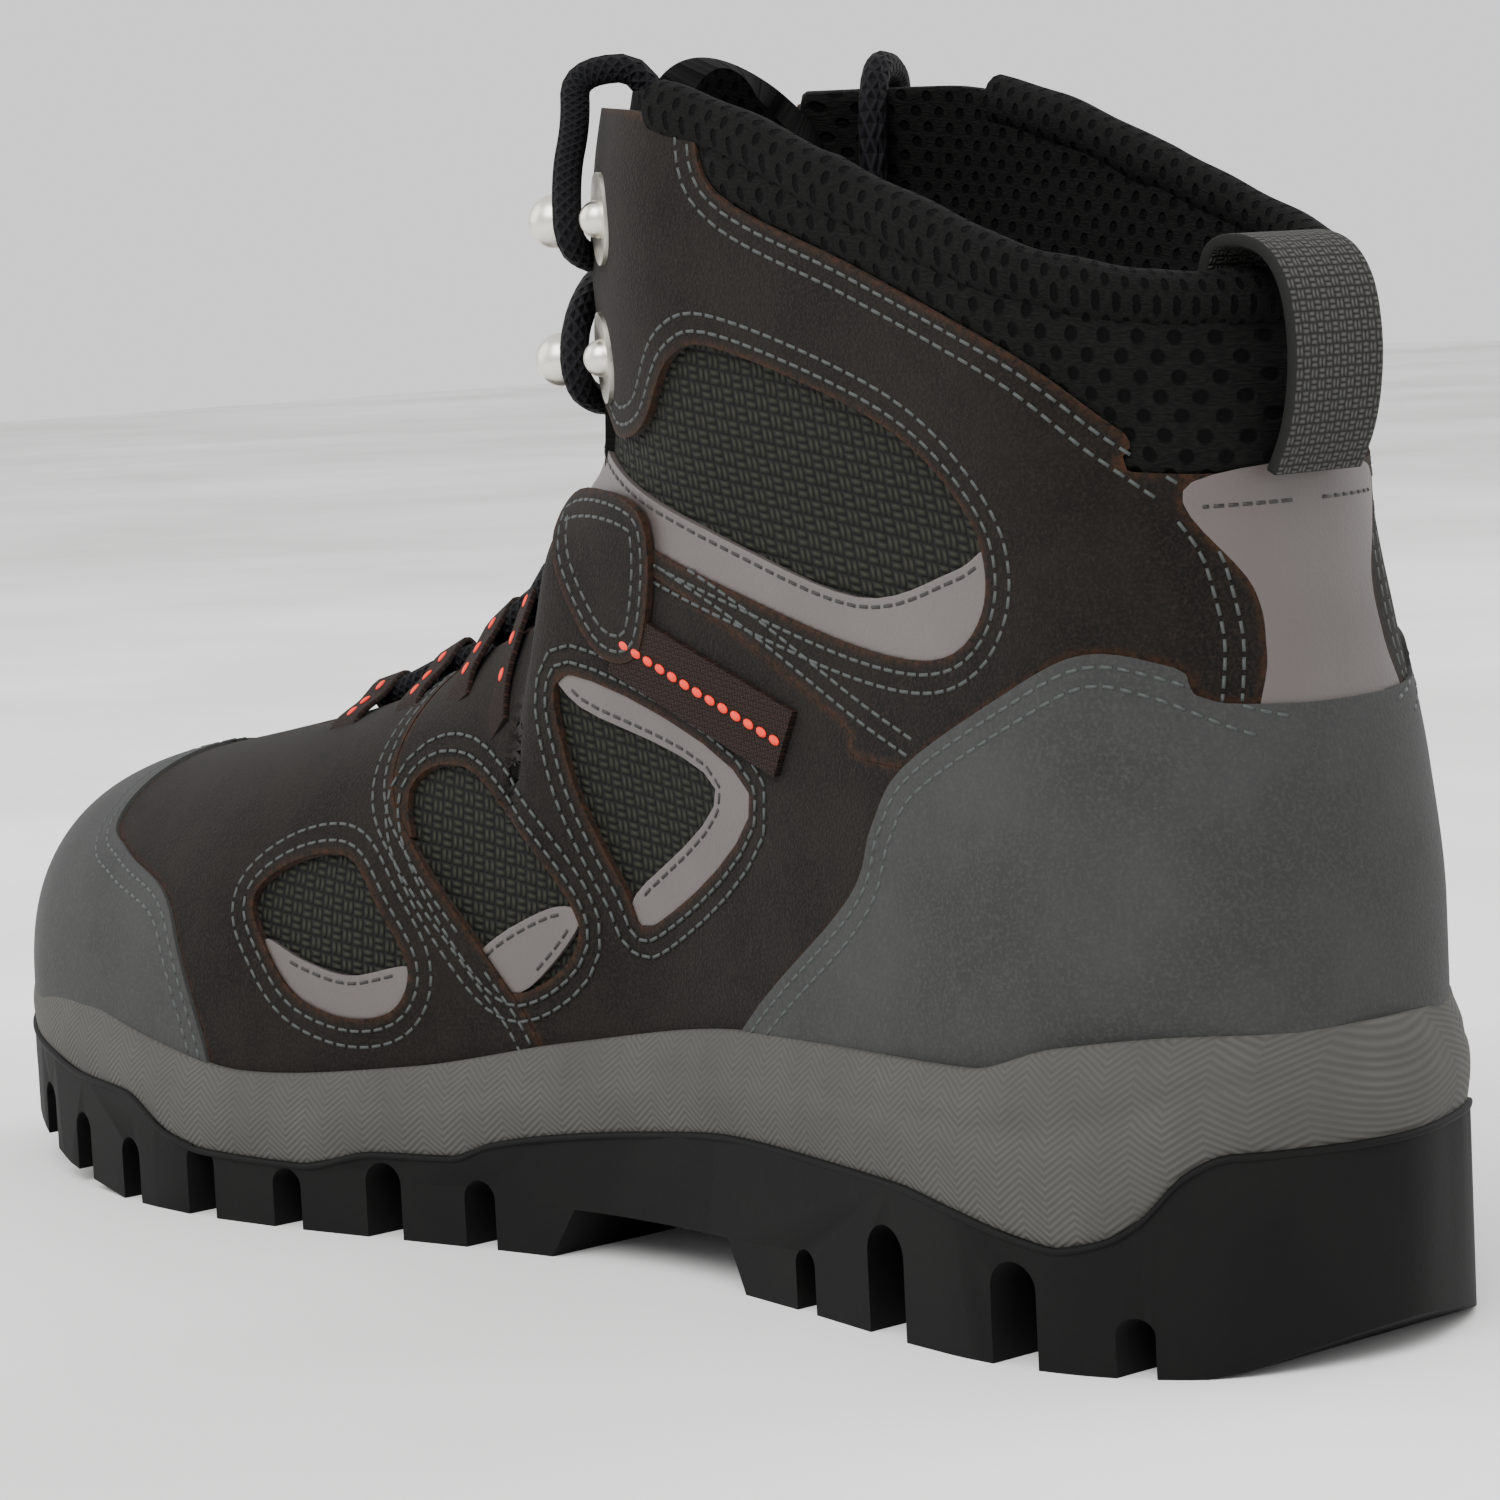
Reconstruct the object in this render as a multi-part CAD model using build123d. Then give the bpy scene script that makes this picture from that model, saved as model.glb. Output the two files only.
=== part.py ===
"""A mid-height right hiking boot, built as its separate pieces.

Every piece is drawn in the maker's own layout, in millimetres: x runs from the
back of the heel towards the toe, y towards the inner (medial) side, z up from
the ground.  At export each piece is shifted by BOX_MIDDLE, so that the origin
is under the middle of the whole boot.
"""
import math
import os

from build123d import *

os.makedirs("parts", exist_ok=True)

# ---- driving dimensions -------------------------------------------------------
BOX_MIDDLE = (151.5, -2.5)       # middle of the boot's plan, in the maker's layout
LOW, HIGH = -20.0, 260.0         # reach of the cutting prisms in z
FAR = 400.0                      # reach of the cutting prisms in x and y

LAYER_CAP = 0.8                  # outer face of the toe and heel caps
LAYER_OUTER = 0.0                # outer face of the suede
LAYER_TEXTILE = -1.4             # outer face of the woven textile
LAYER_STIFF = -2.6               # outer face of the counter, puff and foam
LAYER_LINING = -4.0              # outer face of the lining
LAYER_CAVITY = -6.5              # inner face of the lining
LAYER_TONGUE = -7.0              # outer face of the tongue
LAYER_TONGUE_PAD = -8.4          # between the tongue's face and its pad
LAYER_TONGUE_BACK = -14.0        # inner face of the tongue

BOARD_THICKNESS = 2.2
FOOTBED_GAP = 0.4
FOOTBED_THICKNESS = 4.6
SHANK_THICKNESS = 1.5
LACE_DIAMETER = 4.6
HOOK_BALL = 8.4
PULL_TAB_WIDTH = 19.0
PULL_TAB_THICKNESS = 1.8

MEDIAL, LATERAL = 1, -1
SIDES = {"medial": MEDIAL, "lateral": LATERAL}


def smooth_curve(points):
    """A monotone cubic through (input, output) points, as a function."""
    xs = [float(p[0]) for p in points]
    ys = [float(p[1]) for p in points]
    steps = [b - a for a, b in zip(xs, xs[1:])]
    slopes = [(b - a) / h for a, b, h in zip(ys, ys[1:], steps)]
    tangents = [slopes[0]]
    for left, right in zip(slopes, slopes[1:]):
        flat = left * right <= 0
        tangents.append(0.0 if flat else 2 * left * right / (left + right))
    tangents.append(slopes[-1])

    def value(x):
        x = min(max(x, xs[0]), xs[-1])
        i = max(k for k in range(len(steps)) if xs[k] <= x)
        t = (x - xs[i]) / steps[i]
        rise = ys[i] + (ys[i + 1] - ys[i]) * (3 - 2 * t) * t * t
        bend = tangents[i] * t * (1 - t) ** 2 - tangents[i + 1] * t * t * (1 - t)
        return rise + steps[i] * bend

    return value


def ease(value, start, end):
    """0 before start, 1 after end, smooth between."""
    t = min(max((value - start) / (end - start), 0.0), 1.0)
    return t * t * (3 - 2 * t)


# ---- the shape of the last ------------------------------------------------------
HEEL_LINE = smooth_curve([(10, 1), (40, 0), (60, 0), (80, 2), (100, 6), (120, 10),
                          (140, 12), (160, 11), (180, 9), (205, 8)])
FRONT_LINE = smooth_curve([(10, 296), (25, 301), (40, 304), (52, 302), (60, 296), (66, 287),
                           (70, 276), (73, 262), (76, 246), (80, 226), (86, 203), (97, 178),
                           (110, 160), (125, 150), (140, 149), (155, 149.5), (170, 147),
                           (185, 142), (205, 136)])
CENTRE_LINE = smooth_curve([(0, 0), (200, 0), (250, 2), (285, 6), (307, 8)])
BREADTH = {
    MEDIAL: smooth_curve([(0, 30), (20, 32), (40, 35), (80, 32), (120, 28), (155, 33), (190, 42),
                          (220, 47), (250, 44), (272, 38), (287, 29), (297, 20), (303, 11), (307, 0)]),
    LATERAL: smooth_curve([(0, 30), (20, 33), (40, 36), (80, 38), (120, 40), (155, 46), (190, 51),
                           (220, 50), (250, 44), (272, 35), (287, 24), (297, 14), (303, 7), (307, 0)]),
}
SOLE_MEDIAL = [(-4, 0), (-2, 11), (5, 25), (18, 35), (40, 40), (70, 37), (100, 33), (125, 32),
               (155, 37), (190, 46), (220, 51), (250, 49), (272, 44), (288, 36), (299, 26), (306, 14)]
SOLE_LATERAL = [(307, 5), (303, -7), (295, -18), (282, -31), (262, -43), (232, -53), (200, -56),
                (165, -52), (130, -47), (100, -43), (70, -42), (40, -41), (18, -35), (5, -25), (-2, -11)]
LAST_BOTTOM = [(-30, 32), (30, 32), (60, 31), (110, 28), (160, 21), (205, 17), (240, 19), (275, 26), (340, 36)]
SOLE_START = 30.0                # height where the upper begins to close over the foot
HEEL_ROUND = 34.0
TIP_ROUND = 16.0
NOSE_ROUND = 46.0                # front rounding of the shaft
SECTION_HEIGHTS = [8, 34, 48, 58, 66, 71, 75, 81, 90, 103, 120, 138, 158, 180, 203]
SECTION_POINTS = 13              # points from heel to toe on each side of a section


def front_profile(grow):
    """The toe and instep profile moved outwards by grow, as (z, x) points."""
    heights = [12 + 2.0 * i for i in range(96)]
    line = [(FRONT_LINE(z), z) for z in heights]
    moved = []
    for before, here, after in zip(line, line[1:], line[2:]):
        dx, dz = after[0] - before[0], after[1] - before[1]
        size = math.hypot(dx, dz)
        moved.append((here[1] - grow * dx / size, here[0] + grow * dz / size))
    kept = [moved[0]]
    for point in moved[1:]:
        if point[0] > kept[-1][0] + 0.2:
            kept.append(point)
    return kept


def top_height(x, profile):
    """Height of the instep line above x."""
    for low, high in zip(reversed(profile[:-1]), reversed(profile[1:])):
        if high[1] <= x <= low[1]:
            share = (x - high[1]) / (low[1] - high[1])
            return high[0] + share * (low[0] - high[0])
    return HIGH if x < profile[-1][1] else profile[len(profile) // 8][0]


def half_width(x, z, side, grow, profile, front):
    """Distance of the upper's side from the centre line."""
    heel = HEEL_LINE(z) - grow
    back = min(max((heel + HEEL_ROUND - x) / HEEL_ROUND, 0.0), 1.0)
    heel_factor = (1 - back ** 2.3) ** (1 / 2.3)
    toe_share = min(max((x - 240) / (67 + grow), 0.0), 1.0)
    width = BREADTH[side](max(x, 20) - grow * toe_share) + grow * (1 - toe_share ** 4)
    ankle = ease(z, 55, 115) * min(max((160 - x) / 60, 0.0), 1.0)
    ankle_width = 32 + 6 * min(max((z - 115) / 50, 0.0), 1.0) + grow
    width = width * (1 - ankle) + ankle_width * ankle
    rise = min(max((z - SOLE_START) / (top_height(x, profile) - SOLE_START), 0.0), 1.0)
    foot_factor = (1 - rise ** 2.6) ** (1 / 1.8)
    tip = min(max((x - front + TIP_ROUND) / TIP_ROUND, 0.0), 1.0)
    foot_factor *= (1 - tip ** 3) ** (0.5 * (1 - ease(z, 48, 66)))
    nose = min(max((x - front + NOSE_ROUND) / NOSE_ROUND, 0.0), 1.0)
    shaft_factor = (1 - nose ** 2) ** (1 / 1.7)
    blend = ease(z, 106, 130)
    return width * heel_factor * (foot_factor * (1 - blend) + shaft_factor * blend)


def front_at(z, profile):
    for low, high in zip(profile, profile[1:]):
        if low[0] <= z <= high[0]:
            share = (z - low[0]) / (high[0] - low[0])
            return low[1] + share * (high[1] - low[1])
    return profile[0][1] if z < profile[0][0] else profile[-1][1]


def upper_ring(height, grow, profile):
    """The corner points of one horizontal outline of the upper."""
    heel = HEEL_LINE(height) - grow
    front = front_at(height, profile)
    run = [heel + (front - heel) * (1 - math.cos(math.pi * i / (SECTION_POINTS - 1))) / 2
           for i in range(SECTION_POINTS)]
    points = []
    for x, side in [(x, MEDIAL) for x in run] + [(x, LATERAL) for x in reversed(run[1:-1])]:
        at_end = x in (run[0], run[-1])
        width = 0.0 if at_end else half_width(x, height, side, grow, profile, front)
        points.append(Vector(x, CENTRE_LINE(x) + side * width, height))
    return points


def triangle(*corners):
    return Face(Wire.make_polygon(corners))


def upper_solid(grow):
    """The whole upper, filled, in flat facets, with its face moved outwards by grow."""
    profile = front_profile(grow)
    rings = []
    for z in SECTION_HEIGHTS:
        lift = grow * ease(z, 38, 64) * (1 - ease(z, 98, 150))
        rings.append(upper_ring(z + lift, grow, profile))
    faces = [triangle(*rings[0]), triangle(*rings[-1])]
    count = len(rings[0])
    for lower, upper in zip(rings, rings[1:]):
        for k in range(count):
            after = (k + 1) % count
            faces.append(triangle(lower[k], lower[after], upper[after]))
            faces.append(triangle(lower[k], upper[after], upper[k]))
    return Solid(Shell(faces))


# ---- cutting prisms --------------------------------------------------------------
def side_prism(points, start=-FAR, end=FAR):
    """A prism with the side outline points (x, z), reaching from y=start to y=end."""
    outline = Polyline(*[(x, 0, z) for x, z in points], close=True)
    prism = extrude(make_face(outline), amount=end - start, dir=(0, 1, 0))
    return Pos(0, start, 0) * prism


def rear_prism(points, start=-FAR, end=FAR):
    """A prism with the outline points (y, z), reaching from x=start to x=end."""
    outline = Polyline(*[(0, y, z) for y, z in points], close=True)
    prism = extrude(make_face(outline), amount=end - start, dir=(1, 0, 0))
    return Pos(start, 0, 0) * prism


def plan_prism(points, bottom=LOW, top=HIGH):
    """A prism with the plan outline points (x, y)."""
    outline = Polyline(*[(x, y, bottom) for x, y in points], close=True)
    return extrude(make_face(outline), amount=top - bottom, dir=(0, 0, 1))


def band(lower, upper):
    """Everything between two side lines given as (x, z) points."""
    return side_prism(lower + list(reversed(upper)))


def raised(line, amount):
    return [(x, z + amount) for x, z in line]


def half(side):
    """The half space on one side of the centre line."""
    line = [(-100, 0), (200, 0), (250, 2), (285, 6), (307, 8), (360, 8)]
    return plan_prism(line + [(360, side * FAR), (-100, side * FAR)])


# ---- the lines that cut the upper into pieces ---------------------------------------
COLLAR_TOP = [(-60, 150), (12, 150), (26, 153), (58, 165), (90, 178), (112, 183), (220, 185)]
ROLL_DEPTH = 5.0
THROAT = [(236, -6), (236, 6), (231, 9), (200, 12), (172, 16), (152, 21), (100, 23), (100, -23),
          (152, -21), (172, -16), (200, -12), (231, -9)]
TOE_CAP_LINE = [(270, 90), (262, 64), (250, 58), (232, 53), (224, 44), (216, 25), (213, 0)]
HEEL_CAP_LINE = [(-60, 90), (4, 91), (14, 97), (25, 99), (38, 93), (58, 82), (65, 73), (71, 62),
                 (99, 40), (112, 20), (116, 0)]
HEEL_PATCH = [(-14, 86), (14, 86), (12, 98), (12, 107), (18, 122), (-18, 122), (-12, 107), (-12, 98)]
SUEDE_EDGE = [(-60, 123), (14, 123), (20, 129), (34, 141), (60, 153), (88, 165), (91, 179), (92, 200)]
FOREFOOT_SEAM = [(186, 100), (183, 76), (172, 62), (157, 46), (146, 31), (138, 0)]
ANKLE_SEAM = [(58, 82), (72, 88), (100, 102), (126, 112), (146, 118), (170, 122)]
WINDOW_1 = [(207, 54), (199, 60), (187, 61), (179, 53), (173, 44), (176, 37), (185, 35), (196, 38), (203, 46)]
WINDOW_2 = [(177, 72), (162, 75), (138, 53), (151, 41), (163, 50)]
WINDOW_3 = [(138, 92), (95, 76), (121, 54), (128, 59), (139, 78)]
WINDOW_4 = [(170, 125), (170, 142), (134, 134), (124, 129), (113, 131), (103, 141), (91, 142),
            (59, 131), (45, 119), (42, 106), (50, 98), (69, 99), (102, 108), (128, 116)]
TRIM_1 = [(203.5, 47), (196, 38), (185, 35), (176, 37), (173, 44), (185, 42), (195, 44)]
TRIM_2 = [(159, 47), (151, 41), (138, 53), (144, 55)]
TRIM_3 = [(139, 93), (95, 76), (121, 54), (126, 58), (104, 76), (136, 87)]
TRIM_4 = [(170, 125), (128, 116), (102, 108), (69, 99), (50, 98), (42, 106), (42, 113), (49, 110),
          (69, 106), (101, 115), (138, 128), (170, 136)]
STRAP = [(122, 103), (82, 89), (87, 79), (127, 93)]
TONGUE_PLAN = [(236, -18), (236, 18), (200, 23), (150, 24.4), (94, 24.2), (94, -24.2), (150, -24.4), (200, -23)]
LACE_POCKET = 149.5            # the tongue is narrowed above this height, to clear the lace ends
POCKET_EDGE = 16.5             # half its width there
TONGUE_SIDE = [(240, 58), (200, 66), (165, 84), (140, 104), (112, 130), (96, 160), (94, 184),
               (112, 188), (160, 191), (240, 191)]

OVER = [(-60, HIGH), (360, HIGH)]
UNDER = [(-60, LOW), (360, LOW)]

NODES = {}


def solid_of(shape):
    """The shape without stray slivers."""
    pieces = [s for s in shape.solids() if s.volume > 1.0]
    return pieces[0] if len(pieces) == 1 else Compound(pieces)


def keep(name, shape):
    NODES[name] = solid_of(shape)


# ---- nested layers ---------------------------------------------------------------
CAP_FORM = upper_solid(LAYER_CAP)
OUTER_FORM = upper_solid(LAYER_OUTER)
TEXTILE_FORM = upper_solid(LAYER_TEXTILE)
STIFF_FORM = upper_solid(LAYER_STIFF)
LINING_FORM = upper_solid(LAYER_LINING)
CAVITY_FORM = upper_solid(LAYER_CAVITY)

ABOVE_LAST = band(LAST_BOTTOM, [(-30, HIGH), (340, HIGH)])
BELOW_COLLAR = band([(-60, LOW), (220, LOW), (360, LOW)], raised(COLLAR_TOP, -ROLL_DEPTH) + [(360, 180)])
UPPER_ZONE = ABOVE_LAST & BELOW_COLLAR - plan_prism(THROAT, bottom=60)

SUEDE_SHELL = (OUTER_FORM - TEXTILE_FORM) & UPPER_ZONE
CAP_SHELL = (CAP_FORM - TEXTILE_FORM) & UPPER_ZONE
TOE_ZONE = side_prism(TOE_CAP_LINE + [(360, 0), (360, 90)])
HEEL_ZONE = side_prism(HEEL_CAP_LINE + [(-60, 0)])
PATCH_ZONE = rear_prism(HEEL_PATCH, end=60)
COLLAR_ZONE = band(SUEDE_EDGE, [(-60, HIGH), (92, HIGH)])


def make_upper_layers():
    keep("lining", (LINING_FORM - CAVITY_FORM) & UPPER_ZONE)
    keep("woven_underlay", (TEXTILE_FORM - STIFF_FORM) & UPPER_ZONE)
    stiff = (STIFF_FORM - LINING_FORM) & UPPER_ZONE
    keep("heel_counter", stiff & side_prism([(-60, 0), (70, 0), (70, 55), (50, 78), (-60, 84)]))
    keep("toe_puff", stiff & side_prism([(256, 0), (262, 60), (272, 90), (360, 90), (360, 0)]))
    foam = stiff & side_prism([(-60, 104), (60, 112), (96, 150), (96, 200), (-60, 200)])
    for name, side in SIDES.items():
        keep(f"{name}_collar_foam", foam & half(side))


def make_caps():
    keep("toe_cap", CAP_SHELL & TOE_ZONE)
    keep("heel_cap", CAP_SHELL & HEEL_ZONE)
    keep("heel_patch", (SUEDE_SHELL & PATCH_ZONE) - HEEL_ZONE)


def make_suede(name, side):
    """The suede panels and the smooth trims of one side."""
    shell = SUEDE_SHELL & half(side)
    shell = shell - TOE_ZONE - HEEL_ZONE - PATCH_ZONE - COLLAR_ZONE
    front = side_prism(FOREFOOT_SEAM + [(360, 0), (360, 100)])
    ankle = band([(-60, 80)] + ANKLE_SEAM + [(360, 122)], OVER)
    windows = {i + 1: side_prism(w) for i, w in enumerate([WINDOW_1, WINDOW_2, WINDOW_3, WINDOW_4])}
    keep(f"{name}_forefoot_suede", (shell & front) - windows[1] - windows[2])
    keep(f"{name}_ankle_suede", (shell & ankle) - windows[4])
    keep(f"{name}_quarter_suede", (shell - front - ankle) - windows[2] - windows[3])
    for i, trim in enumerate([TRIM_1, TRIM_2, TRIM_3, TRIM_4]):
        keep(f"{name}_window_trim_{i + 1}", shell & windows[i + 1] & side_prism(trim))


def make_collar():
    """Padded collar panels, and the roll that closes the boot's top edge."""
    pad = (CAP_FORM - TEXTILE_FORM) & UPPER_ZONE & COLLAR_ZONE
    for name, side in SIDES.items():
        keep(f"{name}_collar_pad", pad & half(side))
    roll = band(raised(COLLAR_TOP, -ROLL_DEPTH) + [(360, 180)], COLLAR_TOP + [(360, 185)])
    keep("collar_roll", ((CAP_FORM - CAVITY_FORM) & roll) - plan_prism(THROAT, bottom=60))


def make_tongue():
    zone = plan_prism(TONGUE_PLAN) & side_prism(TONGUE_SIDE)
    for side in SIDES.values():
        pocket = [(112, side * POCKET_EDGE), (170, side * POCKET_EDGE), (170, side * 60), (112, side * 60)]
        zone -= plan_prism(pocket, LACE_POCKET)
    face, pad, back = (upper_solid(grow) & zone for grow in (LAYER_TONGUE, LAYER_TONGUE_PAD, LAYER_TONGUE_BACK))
    keep("tongue_face", face - pad)
    keep("tongue_pad", pad - back)


# ---- the sole -------------------------------------------------------------------
MIDSOLE_TOP = [(-60, 47), (8, 47), (27, 45), (43, 41), (97, 40), (140, 34), (172, 28), (207, 25),
               (230, 28), (264, 34), (285, 36), (360, 35)]
SOLE_SPLIT = [(-60, 31), (5, 31), (9, 29), (15, 22), (20, 19), (27, 17.5), (33, 18.5), (45, 21), (59, 23),
              (98, 24), (121, 22), (145, 19), (155, 17), (162, 14.5), (178, 14), (193, 11), (215, 11.5),
              (225, 13.5), (238, 19), (254, 20), (267, 22), (290, 25), (360, 27)]
GROUND_LINE = [(-60, 7), (-4, 5), (4, 1), (8, 0), (98, 0), (102, 8), (138, 8), (143, 0), (240, 0),
               (262, 3), (284, 9), (300, 14), (360, 28)]
SIDE_NOTCHES = [(16, 5, 6), (34, 8, 11), (61, 9, 12), (82, 5, 7), (157, 6, 8), (176, 7, 9), (196, 6, 7),
                (216, 7, 9), (237, 6, 8), (255, 6, 10), (271, 6, 13), (286, 5, 16)]


def sole_block():
    outline = Spline(*[(x, y, LOW) for x, y in SOLE_MEDIAL + SOLE_LATERAL], periodic=True)
    return extrude(make_face(outline), amount=80, dir=(0, 0, 1))


def make_sole():
    block = sole_block()
    split_up = band(SOLE_SPLIT, [(-60, HIGH), (360, HIGH)])
    split_down = band([(-60, LOW), (360, LOW)], SOLE_SPLIT)
    midsole = (block & split_up & band([(-60, LOW), (360, LOW)], MIDSOLE_TOP))
    cup = (CAP_FORM & ABOVE_LAST)
    midsole = midsole - cup
    shank = side_prism([(x, z - 1.2) for x, z in LAST_BOTTOM[2:5]]
                       + [(x, z - 1.2 - SHANK_THICKNESS) for x, z in reversed(LAST_BOTTOM[2:5])], -11, 11)
    keep("midsole", midsole - shank)
    keep("shank", shank)

    outsole = block & split_down & band(GROUND_LINE, [(-60, HIGH), (360, HIGH)])
    for x, width, top in SIDE_NOTCHES:
        for side in SIDES.values():
            reach = CENTRE_LINE(x) + side * (BREADTH[side](x) - 10)
            cutter = Pos(x, reach + side * 20, 0) * Box(width, 40, 2 * top)
            crown = Pos(x, reach + side * 20, top) * Rot(90, 0, 0) * Cylinder(width / 2, 40)
            outsole = outsole - cutter - crown
    for x in (25, 47, 70, 90, 167, 188, 209, 230, 250):
        floor = 4 if x < 240 else 7
        for side in SIDES.values():
            bar = Pos(x, side * 9 + CENTRE_LINE(x), 0) * Rot(0, 0, side * 32) * Box(5, 24, 2 * floor)
            outsole = outsole - bar
    keep("outsole", outsole)


def make_footbed():
    board = (CAVITY_FORM & band(LAST_BOTTOM, raised(LAST_BOTTOM, BOARD_THICKNESS)))
    keep("lasting_board", board)
    NODES["outsole"] = solid_of(NODES["outsole"] - board)
    lower = BOARD_THICKNESS + FOOTBED_GAP
    inner = upper_solid(LAYER_CAVITY - 1.0)
    keep("footbed", inner & band(raised(LAST_BOTTOM, lower), raised(LAST_BOTTOM, lower + FOOTBED_THICKNESS)))


# ---- fittings on the upper ----------------------------------------------------------
LOOP_HEIGHTS = [83, 90, 99, 110]         # where the webbing loops sit, on the instep line
CROSS_HEIGHTS = [86.5, 94.5, 104.5, 133, 157]
HOOK_CROSS_LIFT = 2.4           # the last crossing stands this much further off the tongue
HOOKS = [(127, 141), (121, 162)]         # side positions of the hook plates
HOOK_FORWARD, HOOK_OUT = 12.0, 5.0       # from the plate to the ball
LOOP_INNER, LOOP_OUTER, LOOP_WIDTH = 2.8, 4.0, 8.0
FACING_EDGE = smooth_curve([(100, 23), (152, 21), (172, 16), (200, 12), (231, 9)])
BASE_PROFILE = front_profile(0)
TAIL_HEIGHTS = (176.0, 189.0, 163.0)     # lace beside, over and behind the top of the facing
TIP_LENGTH = 12.0


def skin_y(x, z, side):
    return CENTRE_LINE(x) + side * half_width(x, z, side, 0, BASE_PROFILE, front_at(z, BASE_PROFILE))


def skin_frame(x, z, side):
    """Point, outward normal and forward tangent of the upper's face."""
    here = Vector(x, skin_y(x, z, side), z)
    forward = (Vector(x + 1, skin_y(x + 1, z, side), z) - Vector(x - 1, skin_y(x - 1, z, side), z)).normalized()
    rise = (Vector(x, skin_y(x, z + 1, side), z + 1) - Vector(x, skin_y(x, z - 1, side), z - 1)).normalized()
    normal = forward.cross(rise).normalized()
    if normal.Y * side < 0:
        normal = normal * -1
    return here, normal, forward


def skin_height(x, y, side):
    """Height of the upper's face above the plan point (x, y)."""
    low, high = 60.0, top_height(x, BASE_PROFILE)
    for _ in range(30):
        middle = (low + high) / 2
        wide = side * (skin_y(x, middle, side) - y) > 0
        low, high = (middle, high) if wide else (low, middle)
    return low


def front_point(height, out):
    """A point on the instep line moved outwards."""
    dx, dz = FRONT_LINE(height + 1) - FRONT_LINE(height - 1), 2.0
    size = math.hypot(dx, dz)
    x = FRONT_LINE(height) + out * dz / size
    return Vector(x, CENTRE_LINE(x), height - out * dx / size)


def loop_frame(level, side):
    """Centre of a webbing loop and the direction in which the lace runs through it."""
    height = LOOP_HEIGHTS[level]
    x = FRONT_LINE(height)
    y = side * (FACING_EDGE(x) - 3.6)
    centre = Vector(x, y, skin_height(x, y, side) + 1.2)
    along = (front_point(height + 2, 0) - front_point(height - 2, 0)).normalized()
    return centre, along


def lace_at_hook(index, side):
    """The lace's two points behind a hook's ball, from below to above."""
    x, z = HOOKS[index]
    here, normal, forward = skin_frame(x, z, side)
    centre = here + forward * 5.4 + normal * 4.3
    return [centre - Vector(0, 0, 6.5), centre + Vector(0, 0, 6.5)]


def lace_half(first_side, lift):
    """The lace from the lowest loop to the tip, changing sides at every crossing."""
    points = []
    side = first_side
    for level in range(len(LOOP_HEIGHTS)):
        centre, along = loop_frame(level, side)
        points += [centre - along * 4.5, centre + along * 4.5, front_point(CROSS_HEIGHTS[level], lift)]
        side = -side
    points += lace_at_hook(0, side) + [front_point(CROSS_HEIGHTS[4], lift + HOOK_CROSS_LIFT)]
    side = -side
    points += lace_at_hook(1, side)
    beside, over, behind = TAIL_HEIGHTS
    x = HOOKS[1][0] + 3
    here, normal, _ = skin_frame(x, beside, side)
    outside, inside = here + normal * 3.8, here - normal * 10.2
    points += [outside, Vector(outside.X, outside.Y, over), Vector(inside.X, inside.Y, over)]
    points.append(Vector(inside.X, inside.Y, behind))
    return points


def rounded_path(points):
    """Straight runs joined by arcs as large as the runs allow."""
    radii = []
    for before, here, after in zip(points, points[1:], points[2:]):
        turn = math.radians((here - before).get_angle(after - here))
        shorter = min((here - before).length, (after - here).length)
        radii.append(0.45 * shorter / math.tan(turn / 2))
    print("lace radii", " ".join(f"{r:.1f}" for r in radii))
    return FilletPolyline(*points, radius=radii)


def round_cord(path, diameter):
    start = Plane(origin=path @ 0, z_dir=path % 0)
    return sweep(start * Circle(diameter / 2), path=path)


def make_lace():
    upper, lower = lace_half(MEDIAL, 3.0), lace_half(LATERAL, -2.6)
    path = rounded_path(list(reversed(lower)) + upper)
    lace = round_cord(path, LACE_DIAMETER)
    print("lace length", round(path.length), "volume share", lace.volume / (path.length * math.pi * LACE_DIAMETER ** 2 / 4))
    keep("lace", lace)
    tips = [Pos(end.X, end.Y, end.Z - TIP_LENGTH / 2) * Cylinder(1.7, TIP_LENGTH) for end in (upper[-1], lower[-1])]
    NODES["lace_tips"] = Compound(tips)


def make_loops(name, side):
    """Folded webbing that carries the lace along one facing."""
    for level in range(len(LOOP_HEIGHTS)):
        centre, along = loop_frame(level, side)
        frame = Plane(origin=centre, z_dir=along, x_dir=Vector(0, 1, 0))
        ring = Cylinder(LOOP_OUTER, LOOP_WIDTH) - Cylinder(LOOP_INNER, LOOP_WIDTH)
        keep(f"{name}_lace_loop_{level + 1}", Location(frame) * ring)


def make_hook(name, index, side):
    """An open hook: an oval plate, its rivet and the ball that holds the lace."""
    x, z = HOOKS[index]
    here, normal, forward = skin_frame(x, z, side)
    frame = Location(Plane(origin=here + normal * 0.1, z_dir=normal, x_dir=forward))
    plate = frame * extrude(Ellipse(4.6, 7.0), 1.1)
    arm = frame * Pos(6.5, 0, 0.55) * Box(8, 3.4, 1.1)
    neck = frame * Pos(HOOK_FORWARD - 1.2, 0, 2.4) * Cylinder(1.6, 4.8)
    ball = frame * Pos(HOOK_FORWARD, 0, HOOK_OUT) * Sphere(HOOK_BALL / 2)
    rivet = frame * Pos(-0.6, 0, -1.25) * Cylinder(1.5, 4.7)
    dome = frame * Pos(-0.6, 0, 1.1) * (Sphere(2.9) & Pos(0, 0, 3) * Box(8, 8, 6))
    keep(f"{name}_hook", plate + arm + neck + ball - rivet - dome)
    return rivet + dome, frame * Pos(-0.6, 0, -3.2) * (Cylinder(3.6, 0.8) - Cylinder(1.5, 0.8)), rivet


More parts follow.
